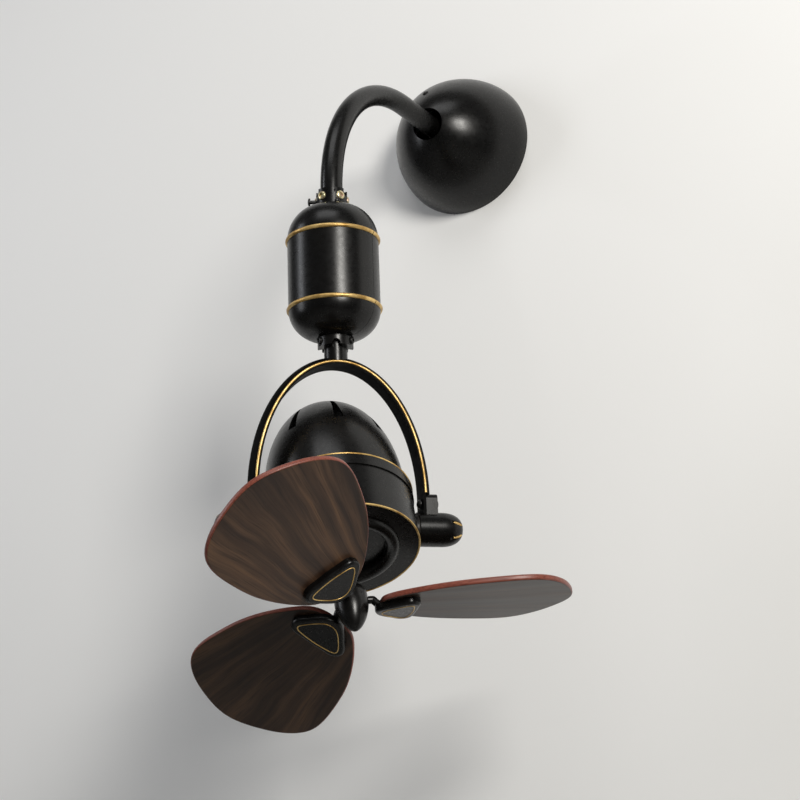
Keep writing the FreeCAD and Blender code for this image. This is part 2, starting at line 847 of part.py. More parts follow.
def pivot_barrel(side):
    body = rod(barrel_r, V(barrel_in, 0, 0), V(barrel_out, 0, 0))
    lug = block(yoke_half_w - lug_seat + fit_gap, lug_out, -lug_half_d, lug_half_d, 0, lug_top)
    upper = [e for e in lug.Edges if abs(e.BoundBox.ZMin - lug_top) < fit_gap]
    corners = [e for e in upper if e.BoundBox.XLength > lug_t / 2]
    body = body.fuse(lug.makeFillet(lug_corner_r, corners))
    bore = rod(trunnion_stud_r + run_gap, V(barrel_in, 0, 0), V(barrel_out, 0, 0))
    hole = rod(clamp_screw_r + fit_gap, V(barrel_in, 0, clamp_screw_z), V(lug_out, 0, clamp_screw_z))
    return at_yoke(pivot(cut_all(body, [bore, hole]).removeSplitter(), side))


def leg_clamp_screws():
    length = lug_out - yoke_half_w + yoke_bar + clamp_nut_t / 2
    one = radial(screw(clamp_screw_r, length, clamp_head_r, clamp_head_t), lug_out, clamp_screw_z, 0)
    return at_yoke(group([pivot(one, side) for side in (1, -1)]))


def leg_clamp_nuts():
    face = yoke_half_w - yoke_bar
    nut = turned(dome_profile(clamp_head_r, clamp_nut_t))
    nut = nut.cut(cylinder(clamp_screw_r + fit_gap, 0, clamp_nut_t / 2 + fit_gap))
    nut = shift(turn(nut, -90, V(0, 1, 0)), face, 0, clamp_screw_z)
    return at_yoke(group([pivot(nut, side) for side in (1, -1)]))


def dome_profile(r, height, power=2.0):
    side = quarter(0, 0, r, height, power)
    return curve(side) + straight(side[-1], spot(0, 0), side[0])


def tilt_knob(side):
    knob = turned(dome_profile(barrel_r, knob_len, knob_power))
    knob = knob.cut(cylinder(trunnion_stud_r + run_gap, 0, trunnion_grip + face_gap))
    flute = rod(flute_r, spot(*flute_foot), spot(*flute_nose))
    knob = cut_all(knob, [turn(flute, a) for a in round_angles(knob_flutes, flute_angle)])
    return at_head(pivot(radial(knob, knob_in, 0, 0), side))


# Motor housing: local z is the motor axis, + towards the dome

band_low = band_top - band_h
band_out = drum_r + fit_gap + band_t


def trunnion(side):
    drum = cylinder(drum_r + fit_gap, -drum_r, drum_r)
    boss = rod(trunnion_boss_r, V(drum_in - trunnion_boss_r, 0, 0), V(washer_in, 0, 0)).cut(drum)
    stud = rod(trunnion_stud_r, V(drum_in - trunnion_nut_t, 0, 0), V(stud_end, 0, 0))
    return at_head(pivot(boss.fuse(stud).removeSplitter(), side))


def friction_washers():
    one = rod(trunnion_boss_r, V(washer_in, 0, 0), V(washer_in + washer_t, 0, 0))
    one = one.cut(rod(trunnion_stud_r + fit_gap, V(washer_in, 0, 0), V(washer_in + washer_t, 0, 0)))
    return at_head(group([pivot(one, side) for side in (1, -1)]))


def trunnion_nuts():
    start = V(drum_in - trunnion_nut_t, 0, 0)
    one = rod(trunnion_nut_r, start, V(drum_r, 0, 0)).common(cylinder(drum_in - fit_gap, -drum_r, drum_r))
    one = one.cut(rod(trunnion_stud_r + fit_gap, start, V(drum_r, 0, 0)))
    return at_head(group([pivot(one, side) for side in (1, -1)]))


def band_screw_angles():
    return round_angles(band_screw_count, band_screw_angle)


band_screw_z = (band_top + band_low) / 2


def band_screw_holes():
    tool = cylinder(band_screw_r + fit_gap, 0, band_out)
    return [radial(tool, 0, band_screw_z, a) for a in band_screw_angles()]


def dome_solid(inset):
    side = quarter(0, band_top, dome_r - inset, dome_h - inset, dome_power)
    return turned(curve(side) + straight(side[-1], spot(0, band_top), side[0]))


def dome_vents():
    # slots that lie along the dome's sides, narrow above and wide below
    wide = vent_w / 2
    narrow = vent_top_w / 2
    corners = [V(-wide, 0, vent_low), V(wide, 0, vent_low)]
    corners += [V(narrow, 0, vent_high), V(-narrow, 0, vent_high)]
    slot = Part.Face(Part.Wire(straight(*corners, corners[0]))).extrude(V(0, dome_r, 0))
    slot = shift(slot, 0, 0, band_top)
    return [turn(slot, a) for a in round_angles(vent_count, vent_angle)]


def motor_dome():
    shell = dome_solid(0).cut(dome_solid(dome_wall))
    step = ring(band_out, dome_r - dome_wall, band_top - dome_wall, band_top)
    skirt = ring(band_out, drum_r + fit_gap, band_low, band_top)
    shell = shell.fuse([step, skirt]).removeSplitter()
    return at_head(cut_all(shell, dome_vents() + band_screw_holes()))


def motor_drum():
    shell = ring(drum_r, drum_in, drum_low, band_top - dome_wall - fit_gap)
    hole = rod(trunnion_stud_r + fit_gap, V(-drum_r, 0, 0), V(drum_r, 0, 0))
    return at_head(cut_all(shell, [hole] + band_screw_holes()))


def housing_screws():
    length = band_out - drum_in
    one = screw(band_screw_r, length, band_screw_head_r, band_screw_head_t)
    return at_head(group([radial(one, band_out, band_screw_z, a) for a in band_screw_angles()]))


cover_ring_r = drum_r - cover_ring_in
cover_in_z = drum_low + cover_recess
cup_r = bearing_r + fit_gap + bearing_cup_wall
lower_bearing_low = cover_in_z + cover_t


def motor_bottom_cover():
    rim = drum_in - fit_gap
    half = cover_ring_w / 2
    top = drum_low + cover_t
    inner = cover_ring_r - half
    floor = lower_bearing_low
    cup = floor + bearing_h
    bore = shaft_r + cover_gap
    seat = bearing_r + fit_gap
    ring_start = spot(cover_ring_r + half, drum_low)
    ring_end = spot(inner, drum_low)
    edges = straight(spot(rim, top), spot(rim, drum_low), ring_start)
    edges += arc(ring_start, spot(cover_ring_r, drum_low - cover_ring_drop), ring_end)
    edges += straight(ring_end, spot(inner, cover_in_z), spot(bore, cover_in_z), spot(bore, floor))
    edges += straight(spot(bore, floor), spot(seat, floor), spot(seat, cup), spot(cup_r, cup))
    edges += straight(spot(cup_r, cup), spot(cup_r, floor), spot(inner + cover_t, floor))
    edges += straight(spot(inner + cover_t, floor), spot(inner + cover_t, top), spot(rim, top))
    return at_head(turned(edges))


stator_bore_r = drum_in - stator_depth
winding_r = (drum_in + stator_bore_r) / 2 - winding_in
end_plate_r = dome_r - end_plate_in
stator_high = stator_low + stator_h
end_plate_low = stator_high + end_plate_rise
end_plate_high = end_plate_low + end_plate_t
upper_bearing_high = end_plate_low
upper_bearing_low = upper_bearing_high - bearing_h
end_post_places = round_places(end_post_count, 2 * (drum_in - end_post_in), end_post_angle)


def stator_core():
    return at_head(ring(drum_in - fit_gap, stator_bore_r, stator_low, stator_high))


def stator_windings():
    made = []
    for face, way in ((stator_high, 1), (stator_low, -1)):
        inner, outer = winding_r - winding_w / 2, winding_r + winding_w / 2
        edges = straight(spot(inner, face), spot(outer, face))
        edges += arc(spot(outer, face), spot(winding_r, face + way * winding_h), spot(inner, face))
        made.append(turned(edges))
    return at_head(group([made[0].cut(end_posts(end_post_r + fit_gap)), made[1]]))


def end_posts(r):
    return group([cylinder(r, stator_high, end_plate_low, x, y) for x, y in end_post_places])


def end_plate_posts():
    return at_head(end_posts(end_post_r))


def motor_end_plate():
    plate = cylinder(end_plate_r, end_plate_low, end_plate_high)
    cup = cylinder(cup_r, upper_bearing_low, end_plate_low)
    tools = [cylinder(bearing_r + fit_gap, upper_bearing_low, end_plate_low)]
    tools.append(cylinder(shaft_r + cover_gap, end_plate_low, end_plate_high))
    return at_head(cut_all(plate.fuse(cup), tools))


def bearing(low):
    return at_head(ring(bearing_r, shaft_r + run_gap, low, low + bearing_h))


def run_capacitor():
    rho = end_plate_r - capacitor_in
    return at_head(cylinder(capacitor_r, end_plate_high, end_plate_high + capacitor_h, rho))


# Fan

spinner_top = iron_root_z - iron_root_t
shaft_high = end_plate_high
shaft_low = spinner_top - spinner_grip


def rotor_core():
    r = stator_bore_r - rotor_gap
    return at_fan(ring(r, shaft_r + fit_gap, stator_low - rotor_over, stator_high + rotor_over))


def rotor_shaft():
    return at_fan(cylinder(shaft_r, shaft_low, shaft_high))


def blade_hub():
    rim = iron_root_z + hub_rim_h
    shoulder = quarter(hub_neck_r, rim, hub_drum_r - hub_neck_r, hub_shoulder_h)
    edges = straight(spot(0, iron_root_z), spot(hub_drum_r, iron_root_z), shoulder[0]) + curve(shoulder)
    edges += straight(shoulder[-1], spot(hub_neck_r, hub_top), spot(0, hub_top), spot(0, iron_root_z))
    body = turned(edges)
    tools = [cylinder(shaft_r + fit_gap, iron_root_z, hub_top)]
    grip = iron_root_z + iron_screw_grip
    tools += [cylinder(iron_screw_r + fit_gap, iron_root_z, grip, x, y) for x, y in iron_screw_places()]
    return at_fan(cut_all(body, tools))


def iron_screw_places():
    return round_places(2 * blade_count, 2 * iron_screw_rho, 90.0 / blade_count)


def iron_screws():
    seat = iron_root_t / 2
    one = screw(iron_screw_r, seat + iron_screw_grip - fit_gap, iron_screw_head_r, seat)
    one = turn(one, 180, V(1, 0, 0))
    return [at_fan(shift(one, x, y, iron_root_z - seat)) for x, y in iron_screw_places()]


def mirrored_outline(half):
    points = [V(x, y, 0) for x, y in half] + [V(x, -y, 0) for x, y in half[-2:0:-1]]
    line = Part.BSplineCurve()
    line.interpolate(points, True)
    return Part.Face(Part.Wire(line.toShape()))


def pitched(shape):
    # tips a piece made flat on z = 0 to the blade's pitch and height
    return shift(turn(shape, blade_pitch, V(1, 0, 0)), 0, 0, blade_z)


def on_blade(shape, index):
    return at_fan(turn(shape, 360.0 * index / blade_count))


def blade_screw_holes(r):
    low = -blade_t / 2 - blade_screw_bite
    return [cylinder(r, low, blade_t / 2, x, y) for x, y in blade_screw_places]


def blade(index):
    board = mirrored_outline(blade_outline).extrude(V(0, 0, blade_t))
    board = board.makeFillet(blade_edge_r, [e for e in board.Edges if e.BoundBox.ZLength < blade_t / 2])
    board = cut_all(shift(board, 0, 0, -blade_t / 2), blade_screw_holes(blade_screw_r + fit_gap))
    return on_blade(pitched(board), index)


def blade_iron(index):
    low = -blade_t / 2 - pad_t
    pad = mirrored_outline(pad_outline).extrude(V(0, 0, pad_t))
    rim = [e for e in pad.Edges if e.BoundBox.ZLength < pad_t / 2 and e.BoundBox.ZMax < pad_t / 2]
    pad = shift(pad.makeFillet(pad_edge_r, rim), 0, 0, low)
    pad = pitched(cut_all(pad, blade_screw_holes(blade_screw_r + fit_gap)))
    root_mid = iron_root_z - iron_root_t / 2
    pad_mid = blade_z - (blade_t + pad_t) / 2 / math.cos(math.radians(blade_pitch))
    start = spot(hub_drum_r - iron_neck_t, root_mid)
    bend = spot(iron_bend, root_mid)
    end = spot(pad_outline[0][0] + iron_neck_t, pad_mid)
    neck = rod(iron_neck_t / 2, start, bend).fuse(rod(iron_neck_t / 2, bend, end))
    neck = neck.fuse(Part.makeSphere(iron_neck_t / 2, bend))
    half = 180.0 / blade_count - iron_split
    root = turned_part(shaft_r + fit_gap, hub_drum_r, spinner_top, iron_root_z, -half, half)
    body = root.fuse([neck, pad]).cut(blade_space())
    tools = [cylinder(spinner_r + cover_gap, spinner_top - spinner_len, spinner_top)]
    tools.append(cylinder(hub_drum_r + cover_gap, iron_root_z, hub_top))
    for x, y in iron_screw_places():
        tools.append(cylinder(iron_screw_r + fit_gap, spinner_top, iron_root_z, x, y))
        tools.append(cylinder(iron_screw_head_r + fit_gap, spinner_top, root_mid, x, y))
    return on_blade(cut_all(body, tools).removeSplitter(), index)


def turned_part(inner, outer, low, high, first, last):
    corners = [spot(inner, low), spot(outer, low), spot(outer, high), spot(inner, high), spot(inner, low)]
    piece = Part.Face(Part.Wire(straight(*corners))).revolve(V(0, 0, 0), V(0, 0, 1), last - first)
    return turn(piece, first)


def blade_space():
    # the board's room, so that the iron only meets its lower face
    room = mirrored_outline(blade_outline).extrude(V(0, 0, blade_t * 2))
    return pitched(shift(room, 0, 0, -blade_t / 2))


def blade_screws():
    length = blade_t + blade_screw_bite - fit_gap
    one = screw(blade_screw_r, length, blade_screw_head_r, blade_screw_head_t)
    made = [pitched(shift(one, x, y, blade_t / 2)) for x, y in blade_screw_places]
    return [on_blade(piece, k) for k in range(blade_count) for piece in made]


def spinner_cap():
    shoulder_z = spinner_top - spinner_shoulder
    side = quarter(0, shoulder_z, spinner_r, spinner_shoulder - spinner_len, spinner_power)
    edges = straight(spot(0, spinner_top), spot(spinner_r, spinner_top), side[0]) + curve(side)
    edges += straight(side[-1], spot(0, spinner_top))
    return at_fan(turned(edges).cut(cylinder(shaft_r + fit_gap, shaft_low - face_gap, spinner_top)))


nodes = {
    "wall_bracket": wall_bracket(),
    "cable_grommet": cable_grommet(),
    "wall_canopy": wall_canopy(),
    "canopy_post": canopy_post(),
    "canopy_screw": canopy_screw(),
    "arm_flange": arm_flange(),
    "flange_bolts": flange_bolts(),
    "arm_lock_screws": arm_lock_screws(),
    "arm_tube": arm_tube(),
    "upper_collar": upper_collar(),
    "upper_collar_bolts": upper_collar_bolts(),
    "upper_set_screws": upper_set_screws(),
    "collar_flange_screws": collar_flange_screws(),
    "gearbox_front_shell": gearbox_shell(-1),
    "gearbox_rear_shell": gearbox_shell(1),
    "gearbox_shell_screws": gearbox_shell_screws(),
    "gearbox_top_plate": gearbox_top_plate(),
    "gearbox_deck": gearbox_deck(),
    "gearbox_bottom_plate": gearbox_bottom_plate(),
    "gearbox_posts": gearbox_posts(),
    "spindle_bushes": spindle_bushes(),
    "gear_motor": gear_motor(),
    "brush_block": brush_block(),
    "drive_pinion": drive_pinion(),
    "output_gear": output_gear(),
    "slip_ring": slip_ring(),
    "stem_tube": stem_tube(),
    "lower_collar": lower_collar(),
    "lower_collar_bolts": lower_collar_bolts(),
    "yoke_arch": yoke_arch(),
    "yoke_inner_strip": yoke_inner_strip(),
    "right_pivot_barrel": pivot_barrel(1),
    "left_pivot_barrel": pivot_barrel(-1),
    "leg_clamp_screws": leg_clamp_screws(),
    "leg_clamp_nuts": leg_clamp_nuts(),
    "right_tilt_knob": tilt_knob(1),
    "left_tilt_knob": tilt_knob(-1),
    "trunnions": group([trunnion(1), trunnion(-1)]),
    "friction_washers": friction_washers(),
    "trunnion_nuts": trunnion_nuts(),
    "motor_dome": motor_dome(),
    "motor_drum": motor_drum(),
    "motor_bottom_cover": motor_bottom_cover(),
    "housing_screws": housing_screws(),
    "stator_core": stator_core(),
    "stator_windings": stator_windings(),
    "motor_end_plate": motor_end_plate(),
    "end_plate_posts": end_plate_posts(),
    "motor_bearings": group([bearing(upper_bearing_low), bearing(lower_bearing_low)]),
    "run_capacitor": run_capacitor(),
    "rotor": group([rotor_core(), rotor_shaft()]),
    "blade_hub": blade_hub(),
    "fan_screws": group(iron_screws() + blade_screws()),
    "spinner_cap": spinner_cap(),
}
for number in range(blade_count):
    nodes["blade_iron_%d" % (number + 1)] = blade_iron(number)
    nodes["blade_%d" % (number + 1)] = blade(number)

for name, shape in nodes.items():
    shape.exportStep("parts/%s.step" % name)
    state = "" if all(solid.isValid() for solid in shape.Solids) else " INVALID"
    print("%-22s %2d solids %10.1f mm3%s" % (name, len(shape.Solids), shape.Volume, state))
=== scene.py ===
import bpy
import bmesh
import math
from mathutils import Matrix, Vector


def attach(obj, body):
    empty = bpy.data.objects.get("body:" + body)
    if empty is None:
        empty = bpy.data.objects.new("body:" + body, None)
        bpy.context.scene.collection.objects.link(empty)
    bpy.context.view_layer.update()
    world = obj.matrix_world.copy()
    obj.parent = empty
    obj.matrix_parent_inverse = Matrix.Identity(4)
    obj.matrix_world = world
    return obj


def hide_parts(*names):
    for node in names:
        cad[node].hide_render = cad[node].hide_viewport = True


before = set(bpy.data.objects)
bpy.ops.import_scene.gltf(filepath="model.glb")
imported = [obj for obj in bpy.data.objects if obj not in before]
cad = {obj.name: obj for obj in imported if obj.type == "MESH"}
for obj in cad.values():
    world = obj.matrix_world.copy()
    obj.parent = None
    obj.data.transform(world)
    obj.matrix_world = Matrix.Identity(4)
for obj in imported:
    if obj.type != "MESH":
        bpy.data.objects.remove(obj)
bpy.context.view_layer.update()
mm = 0.001
print("frame loaded:", len(cad), "CAD pieces")

# the fan's own axes, in millimetres and degrees, as the CAD has them
layout = {
    "axisReach": 297.0,    # wall to the upright axis that the yoke turns about
    "tiltHeight": -492.6,  # tilt axis below the canopy's centre
    "yokeTurn": 44.2,
    "headTilt": 26.0,
    "bladeTurn": -4.5,
    "bladeCount": 3,
    "bladeHeight": -83.8,  # along the motor axis, from the tilt axis
    "bladePitch": 20.9,
}


def turnAbout(axis, degrees):
    return Matrix.Rotation(math.radians(degrees), 4, axis)


def moveBy(x, y, z):
    return Matrix.Translation(Vector((x, y, z)) * mm)


wallFrame = turnAbout("X", 90)    # z out of the wall
axisFrame = moveBy(0, -layout["axisReach"], 0)
yokeFrame = moveBy(0, -layout["axisReach"], layout["tiltHeight"]) @ turnAbout("Z", layout["yokeTurn"])
headFrame = yokeFrame @ turnAbout("X", -layout["headTilt"])
fanFrame = headFrame @ turnAbout("Z", layout["bladeTurn"])


def bladeFrame(index):
    spun = fanFrame @ turnAbout("Z", 360.0 * index / layout["bladeCount"])
    return spun @ moveBy(0, 0, layout["bladeHeight"]) @ turnAbout("X", layout["bladePitch"])


def knobFrame(halfTurn):
    # z runs out along the tilt axis, half a turn is 0 on the right and 180 on the left
    return headFrame @ turnAbout("Z", halfTurn) @ turnAbout("Y", 90)


# nodes and materials
def hexColour(text):
    parts = [int(text[k:k + 2], 16) / 255 for k in (1, 3, 5)]
    linear = [c / 12.92 if c <= 0.04045 else ((c + 0.055) / 1.055) ** 2.4 for c in parts]
    return (*linear, 1.0)


def addNode(tree, kind, settings=None, inputs=None, stops=()):
    # a socket among the inputs is linked, anything else is set; stops are a ramp's places and colours
    # (a mix node's inputs go by number: 0 the share, 2 and 3 its numbers, 6 and 7 its colours)
    node = tree.nodes.new(kind)
    for name, value in (settings or {}).items():
        setattr(node, name, value)
    for name, value in (inputs or {}).items():
        if isinstance(value, bpy.types.NodeSocket):
            tree.links.new(value, node.inputs[name])
        else:
            node.inputs[name].default_value = value
    for index, (where, colour) in enumerate(stops):
        marks = node.color_ramp.elements
        mark = marks[index] if index < len(marks) else marks.new(where)
        mark.position = where
        mark.color = hexColour(colour)
    return node


def startMaterial(name):
    material = bpy.data.materials.new(name)
    material.use_nodes = True
    tree = material.node_tree
    tree.nodes.clear()
    shader = addNode(tree, "ShaderNodeBsdfPrincipled")
    addNode(tree, "ShaderNodeOutputMaterial", None, {"Surface": shader.outputs["BSDF"]})
    place = addNode(tree, "ShaderNodeTexCoord").outputs["Object"]
    return material, tree, shader, place


def perMetre(sizeMm):
    # texture scale for spots of that size
    return 1.0 / (sizeMm * mm)


def wireShader(tree, shader, sockets):
    for name, source in sockets.items():
        tree.links.new(source, shader.inputs[name])


noiseSpan = (0.3, 0.7)    # where most of a noise's values lie


def spanOf(noise, low, high):
    # map range settings that stretch a noise from low to high
    least, most = noiseSpan
    return {"Value": noise, "From Min": least, "From Max": most, "To Min": low, "To Max": high}


# satin black paint, sprayed on steel: deep neutral black, soft highlights, faint orange peel
# (the real peel is under 1 mm and is drawn at 1.6 mm so that it shows)
satinBlack = {"tones": ((0.35, "#060606"), (0.75, "#0f0e0d")), "mottleMm": 38.0, "dustMm": 5.0,
              "rough": (0.25, 0.32), "peelMm": 1.6, "peelDepth": 0.01, "peelHigh": 0.2, "ior": 1.38}

# flat black paint on the yoke: the same black with a dull face, so the wall hardly shows in it
flatBlack = {**satinBlack, "rough": (0.5, 0.6), "ior": 1.1}

# gold line: metallic lacquer brushed on by hand, warm and a little streaked
goldLine = {"tones": ((0.35, "#a07b3c"), (0.62, "#e2c07c")), "streakMm": 14.0, "wearMm": 3.0,
            "rough": (0.3, 0.44), "metal": 0.6}


def paintMaterial(name, s):
    material, tree, shader, place = startMaterial(name)
    feed = {"Vector": place, "Scale": perMetre(s["mottleMm"]), "Detail": 4.0}
    mottle = addNode(tree, "ShaderNodeTexNoise", None, feed).outputs["Fac"]
    feed = {"Vector": place, "Scale": perMetre(s["dustMm"]), "Detail": 5.0}
    dust = addNode(tree, "ShaderNodeTexNoise", None, feed).outputs["Fac"]
    feed = {"Vector": place, "Scale": perMetre(s["peelMm"]), "Detail": 2.0}
    peel = addNode(tree, "ShaderNodeTexNoise", None, feed).outputs["Fac"]
    colour = addNode(tree, "ShaderNodeValToRGB", None, {"Fac": mottle}, s["tones"]).outputs["Color"]
    rough = addNode(tree, "ShaderNodeMapRange", None, spanOf(dust, *s["rough"])).outputs["Result"]
    dimple = {"Strength": s["peelDepth"], "Distance": s["peelHigh"] * mm, "Height": peel}
    normal = addNode(tree, "ShaderNodeBump", None, dimple).outputs["Normal"]
    shader.inputs["IOR"].default_value = s["ior"]
    wireShader(tree, shader, {"Base Color": colour, "Roughness": rough, "Normal": normal})
    return material


def localPlace(tree, place, home):
    # turns the object's coordinates into those of the frame home
    back = home.inverted()
    turned = {"Vector": place, "Location": back.to_translation(), "Rotation": back.to_euler()}
    return addNode(tree, "ShaderNodeMapping", None, turned).outputs["Vector"]


# dark walnut veneer under thin lacquer: streaks that fan out from the hub, fine open pores, edge stained
# mahogany; pores are drawn about twice real size, and each blade is painted lighter or darker for the light
# that falls on it
walnut = {
    "tones": ((0.38, "#21150e"), (0.49, "#35251a"), (0.57, "#453224"), (0.66, "#573f2b")),
    # painted light and shade: one brightness per blade, set to how the light falls on that blade, not a
    # difference in the wood
    "shade": (0.95, 1.15, 1.6),    # of each blade
    "edgeTones": ((0.3, "#5e2e25"), (0.6, "#864a3c")), "halfThick": 2.6, "rimMm": 0.22, "rimSoft": 0.1,
    # along and across the grain
    "figureMm": (260.0, 26.0), "flameMm": (170.0, 8.0), "poreMm": (38.0, 0.9),
    "figureShare": 0.5, "poreSpan": (0.3, 0.48), "poreDark": 0.5, "poreDepth": 0.08, "poreHigh": 0.2,
    "waveMm": 60.0, "waveDepth": 8.0, "fanBehind": 140.0, "fanMiddle": 120.0,
    # moves each layer, and each blade, to another place in the noise
    "layerShift": (5.0, 9.0), "bladeShift": (7.3, 3.1),
    "rough": (0.34, 0.46), "gloss": 0.3, "lacquer": 0.08, "lacquerRough": 0.2,
}


def walnutMaterial(index):
    s = walnut
    material, tree, shader, place = startMaterial("lacquered_walnut_%d" % (index + 1))
    spot = localPlace(tree, place, bladeFrame(index))
    parts = addNode(tree, "ShaderNodeSeparateXYZ", None, {"Vector": spot})
    # the grain's own coordinates: along the radius, and across it with the lines spreading towards the tip
    reach = {0: parts.outputs["X"], 1: s["fanBehind"] * mm}
    reach = addNode(tree, "ShaderNodeMath", {"operation": "ADD"}, reach).outputs["Value"]
    across = {0: parts.outputs["Y"], 1: reach}
    across = addNode(tree, "ShaderNodeMath", {"operation": "DIVIDE"}, across).outputs["Value"]
    feed = {"Vector": spot, "Scale": perMetre(s["waveMm"]), "Detail": 1.0}
    wave = addNode(tree, "ShaderNodeTexNoise", None, feed).outputs["Fac"]
    bent = {0: wave, 1: s["waveDepth"] / (s["fanMiddle"] + s["fanBehind"]), 2: across}
    bent = addNode(tree, "ShaderNodeMath", {"operation": "MULTIPLY_ADD"}, bent).outputs["Value"]
    spread = {0: bent, 1: (s["fanMiddle"] + s["fanBehind"]) * mm}
    spread = addNode(tree, "ShaderNodeMath", {"operation": "MULTIPLY"}, spread).outputs["Value"]
    grain = {"X": parts.outputs["X"], "Y": spread, "Z": parts.outputs["Z"]}
    grain = addNode(tree, "ShaderNodeCombineXYZ", None, grain).outputs["Vector"]
    layers = []
    for number, (along, wide) in enumerate((s["figureMm"], s["flameMm"], s["poreMm"])):
        shifts = zip(s["layerShift"], s["bladeShift"])
        away = (*(layer * number + blade * index for layer, blade in shifts), 0)
        stretch = (perMetre(along), perMetre(wide), perMetre(wide))
        drawn = {"Vector": grain, "Location": away, "Scale": stretch}
        drawn = addNode(tree, "ShaderNodeMapping", None, drawn)
        feed = {"Vector": drawn.outputs["Vector"], "Scale": 1.0, "Detail": 3.0, "Distortion": 0.35}
        layers.append(addNode(tree, "ShaderNodeTexNoise", None, feed).outputs["Fac"])
    figure, flame, pores = layers
    both = {0: s["figureShare"], 2: figure, 3: flame}
    both = addNode(tree, "ShaderNodeMix", {"data_type": "FLOAT"}, both).outputs[0]
    wood = addNode(tree, "ShaderNodeValToRGB", None, {"Fac": both}, s["tones"]).outputs["Color"]
    # painted light and shade: this blade's brightness for the light it gets, multiplied into the wood colour
    # through the pore span
    shade = s["shade"][index]
    low, high = s["poreSpan"]
    span = {"Value": pores, "From Min": low, "From Max": high,
            "To Min": s["poreDark"] * shade, "To Max": shade}
    dim = addNode(tree, "ShaderNodeMapRange", None, span).outputs["Result"]
    grained = {"data_type": "RGBA", "blend_type": "MULTIPLY"}
    wood = addNode(tree, "ShaderNodeMix", grained, {0: 1.0, 6: wood, 7: dim}).outputs[2]
    height = {0: parts.outputs["Z"]}
    height = addNode(tree, "ShaderNodeMath", {"operation": "ABSOLUTE"}, height).outputs["Value"]
    # 1 on the blade's edge, between its two faces, and 0 on the faces
    face = (s["halfThick"] - s["rimMm"]) * mm
    soft = s["rimSoft"] * mm
    span = {"Value": height, "From Min": face, "From Max": face + soft, "To Min": 1.0, "To Max": 0.0}
    rim = addNode(tree, "ShaderNodeMapRange", None, span).outputs["Result"]
    edge = addNode(tree, "ShaderNodeValToRGB", None, {"Fac": pores}, s["edgeTones"]).outputs["Color"]
    colour = addNode(tree, "ShaderNodeMix", {"data_type": "RGBA"}, {0: rim, 6: wood, 7: edge}).outputs[2]
    rough = addNode(tree, "ShaderNodeMapRange", None, spanOf(figure, *s["rough"])).outputs["Result"]
    groove = {"Strength": s["poreDepth"], "Distance": s["poreHigh"] * mm, "Height": pores}
    normal = addNode(tree, "ShaderNodeBump", None, groove).outputs["Normal"]
    wireShader(tree, shader, {"Base Color": colour, "Roughness": rough, "Normal": normal})
    shader.inputs["Specular IOR Level"].default_value = s["gloss"]
    shader.inputs["Coat Weight"].default_value = s["lacquer"]
    shader.inputs["Coat Roughness"].default_value = s["lacquerRough"]
    return material


# small and hidden pieces: tones, size of the spots that carry them, roughness range, metal or not
plainFinishes = {
    # bright plate, faintly clouded
    "zinc_plated_steel": (("#8d8f92", "#b4b6b8"), 6.0, (0.26, 0.42), 1.0),
    # pale gold plate that shifts to green and pink
    "yellow_zinc_plate": (("#b9c19c", "#cdbf93", "#d6cba8", "#d2aaa2"), 3.5, (0.26, 0.38), 0.85),
    # blued screws, nearly black with an oily sheen
    "black_oxide_steel": (("#0d0d0d", "#1d1c1b"), 2.0, (0.3, 0.45), 0.3),
    # brown porous metal
    "sintered_bronze": (("#7d5a30", "#a67c48"), 0.8, (0.35, 0.5), 1.0),
    # wound wire under red-brown varnish
    "enamelled_copper": (("#6e2f16", "#a04d24"), 1.2, (0.25, 0.35), 0.9),
    # stacked sheet steel, dull grey
    "core_laminations": (("#3d3e41", "#626468"), 0.8, (0.4, 0.55), 1.0),
    # moulded, hard and dull
    "black_phenolic": (("#101010", "#1c1b1a"), 1.5, (0.4, 0.55), 0.0),
    # moulded, milky
    "natural_nylon": (("#cfc9b6", "#e4dfcf"), 4.0, (0.35, 0.5), 0.0),
    # pressed sheet, dry and matt
    "dark_fibre": (("#1a1613", "#2c2621"), 1.0, (0.6, 0.75), 0.0),
    # moulded, matt
    "black_rubber": (("#0c0c0c", "#191919"), 1.2, (0.6, 0.8), 0.0),
}
toneSpan = (0.35, 0.65)    # noise values that the tones are laid over
plainPits = {"depth": 0.05, "high": 0.1}


def plainMaterial(name):
    tones, spotMm, roughness, metal = plainFinishes[name]
    material, tree, shader, place = startMaterial(name)
    feed = {"Vector": place, "Scale": perMetre(spotMm), "Detail": 4.0}
    spots = addNode(tree, "ShaderNodeTexNoise", None, feed).outputs["Fac"]
    low, high = toneSpan
    stops = [(low + (high - low) * k / (len(tones) - 1), tone) for k, tone in enumerate(tones)]
    colour = addNode(tree, "ShaderNodeValToRGB", None, {"Fac": spots}, stops).outputs["Color"]
    rough = addNode(tree, "ShaderNodeMapRange", None, spanOf(spots, *roughness)).outputs["Result"]
    pits = {"Strength": plainPits["depth"], "Distance": plainPits["high"] * mm, "Height": spots}
    normal = addNode(tree, "ShaderNodeBump", None, pits).outputs["Normal"]
    wireShader(tree, shader, {"Base Color": colour, "Roughness": rough, "Normal": normal})
    shader.inputs["Metallic"].default_value = metal
    return material


def goldMaterial():
    s = goldLine
    material, tree, shader, place = startMaterial("gold_line_lacquer")
    feed = {"Vector": place, "Scale": perMetre(s["streakMm"]), "Detail": 4.0}
    streak = addNode(tree, "ShaderNodeTexNoise", None, feed).outputs["Fac"]
    colour = addNode(tree, "ShaderNodeValToRGB", None, {"Fac": streak}, s["tones"]).outputs["Color"]
    feed = {"Vector": place, "Scale": perMetre(s["wearMm"]), "Detail": 3.0}
    wear = addNode(tree, "ShaderNodeTexNoise", None, feed).outputs["Fac"]
    rough = addNode(tree, "ShaderNodeMapRange", None, spanOf(wear, *s["rough"])).outputs["Result"]
    wireShader(tree, shader, {"Base Color": colour, "Roughness": rough})
    shader.inputs["Metallic"].default_value = s["metal"]
    return material


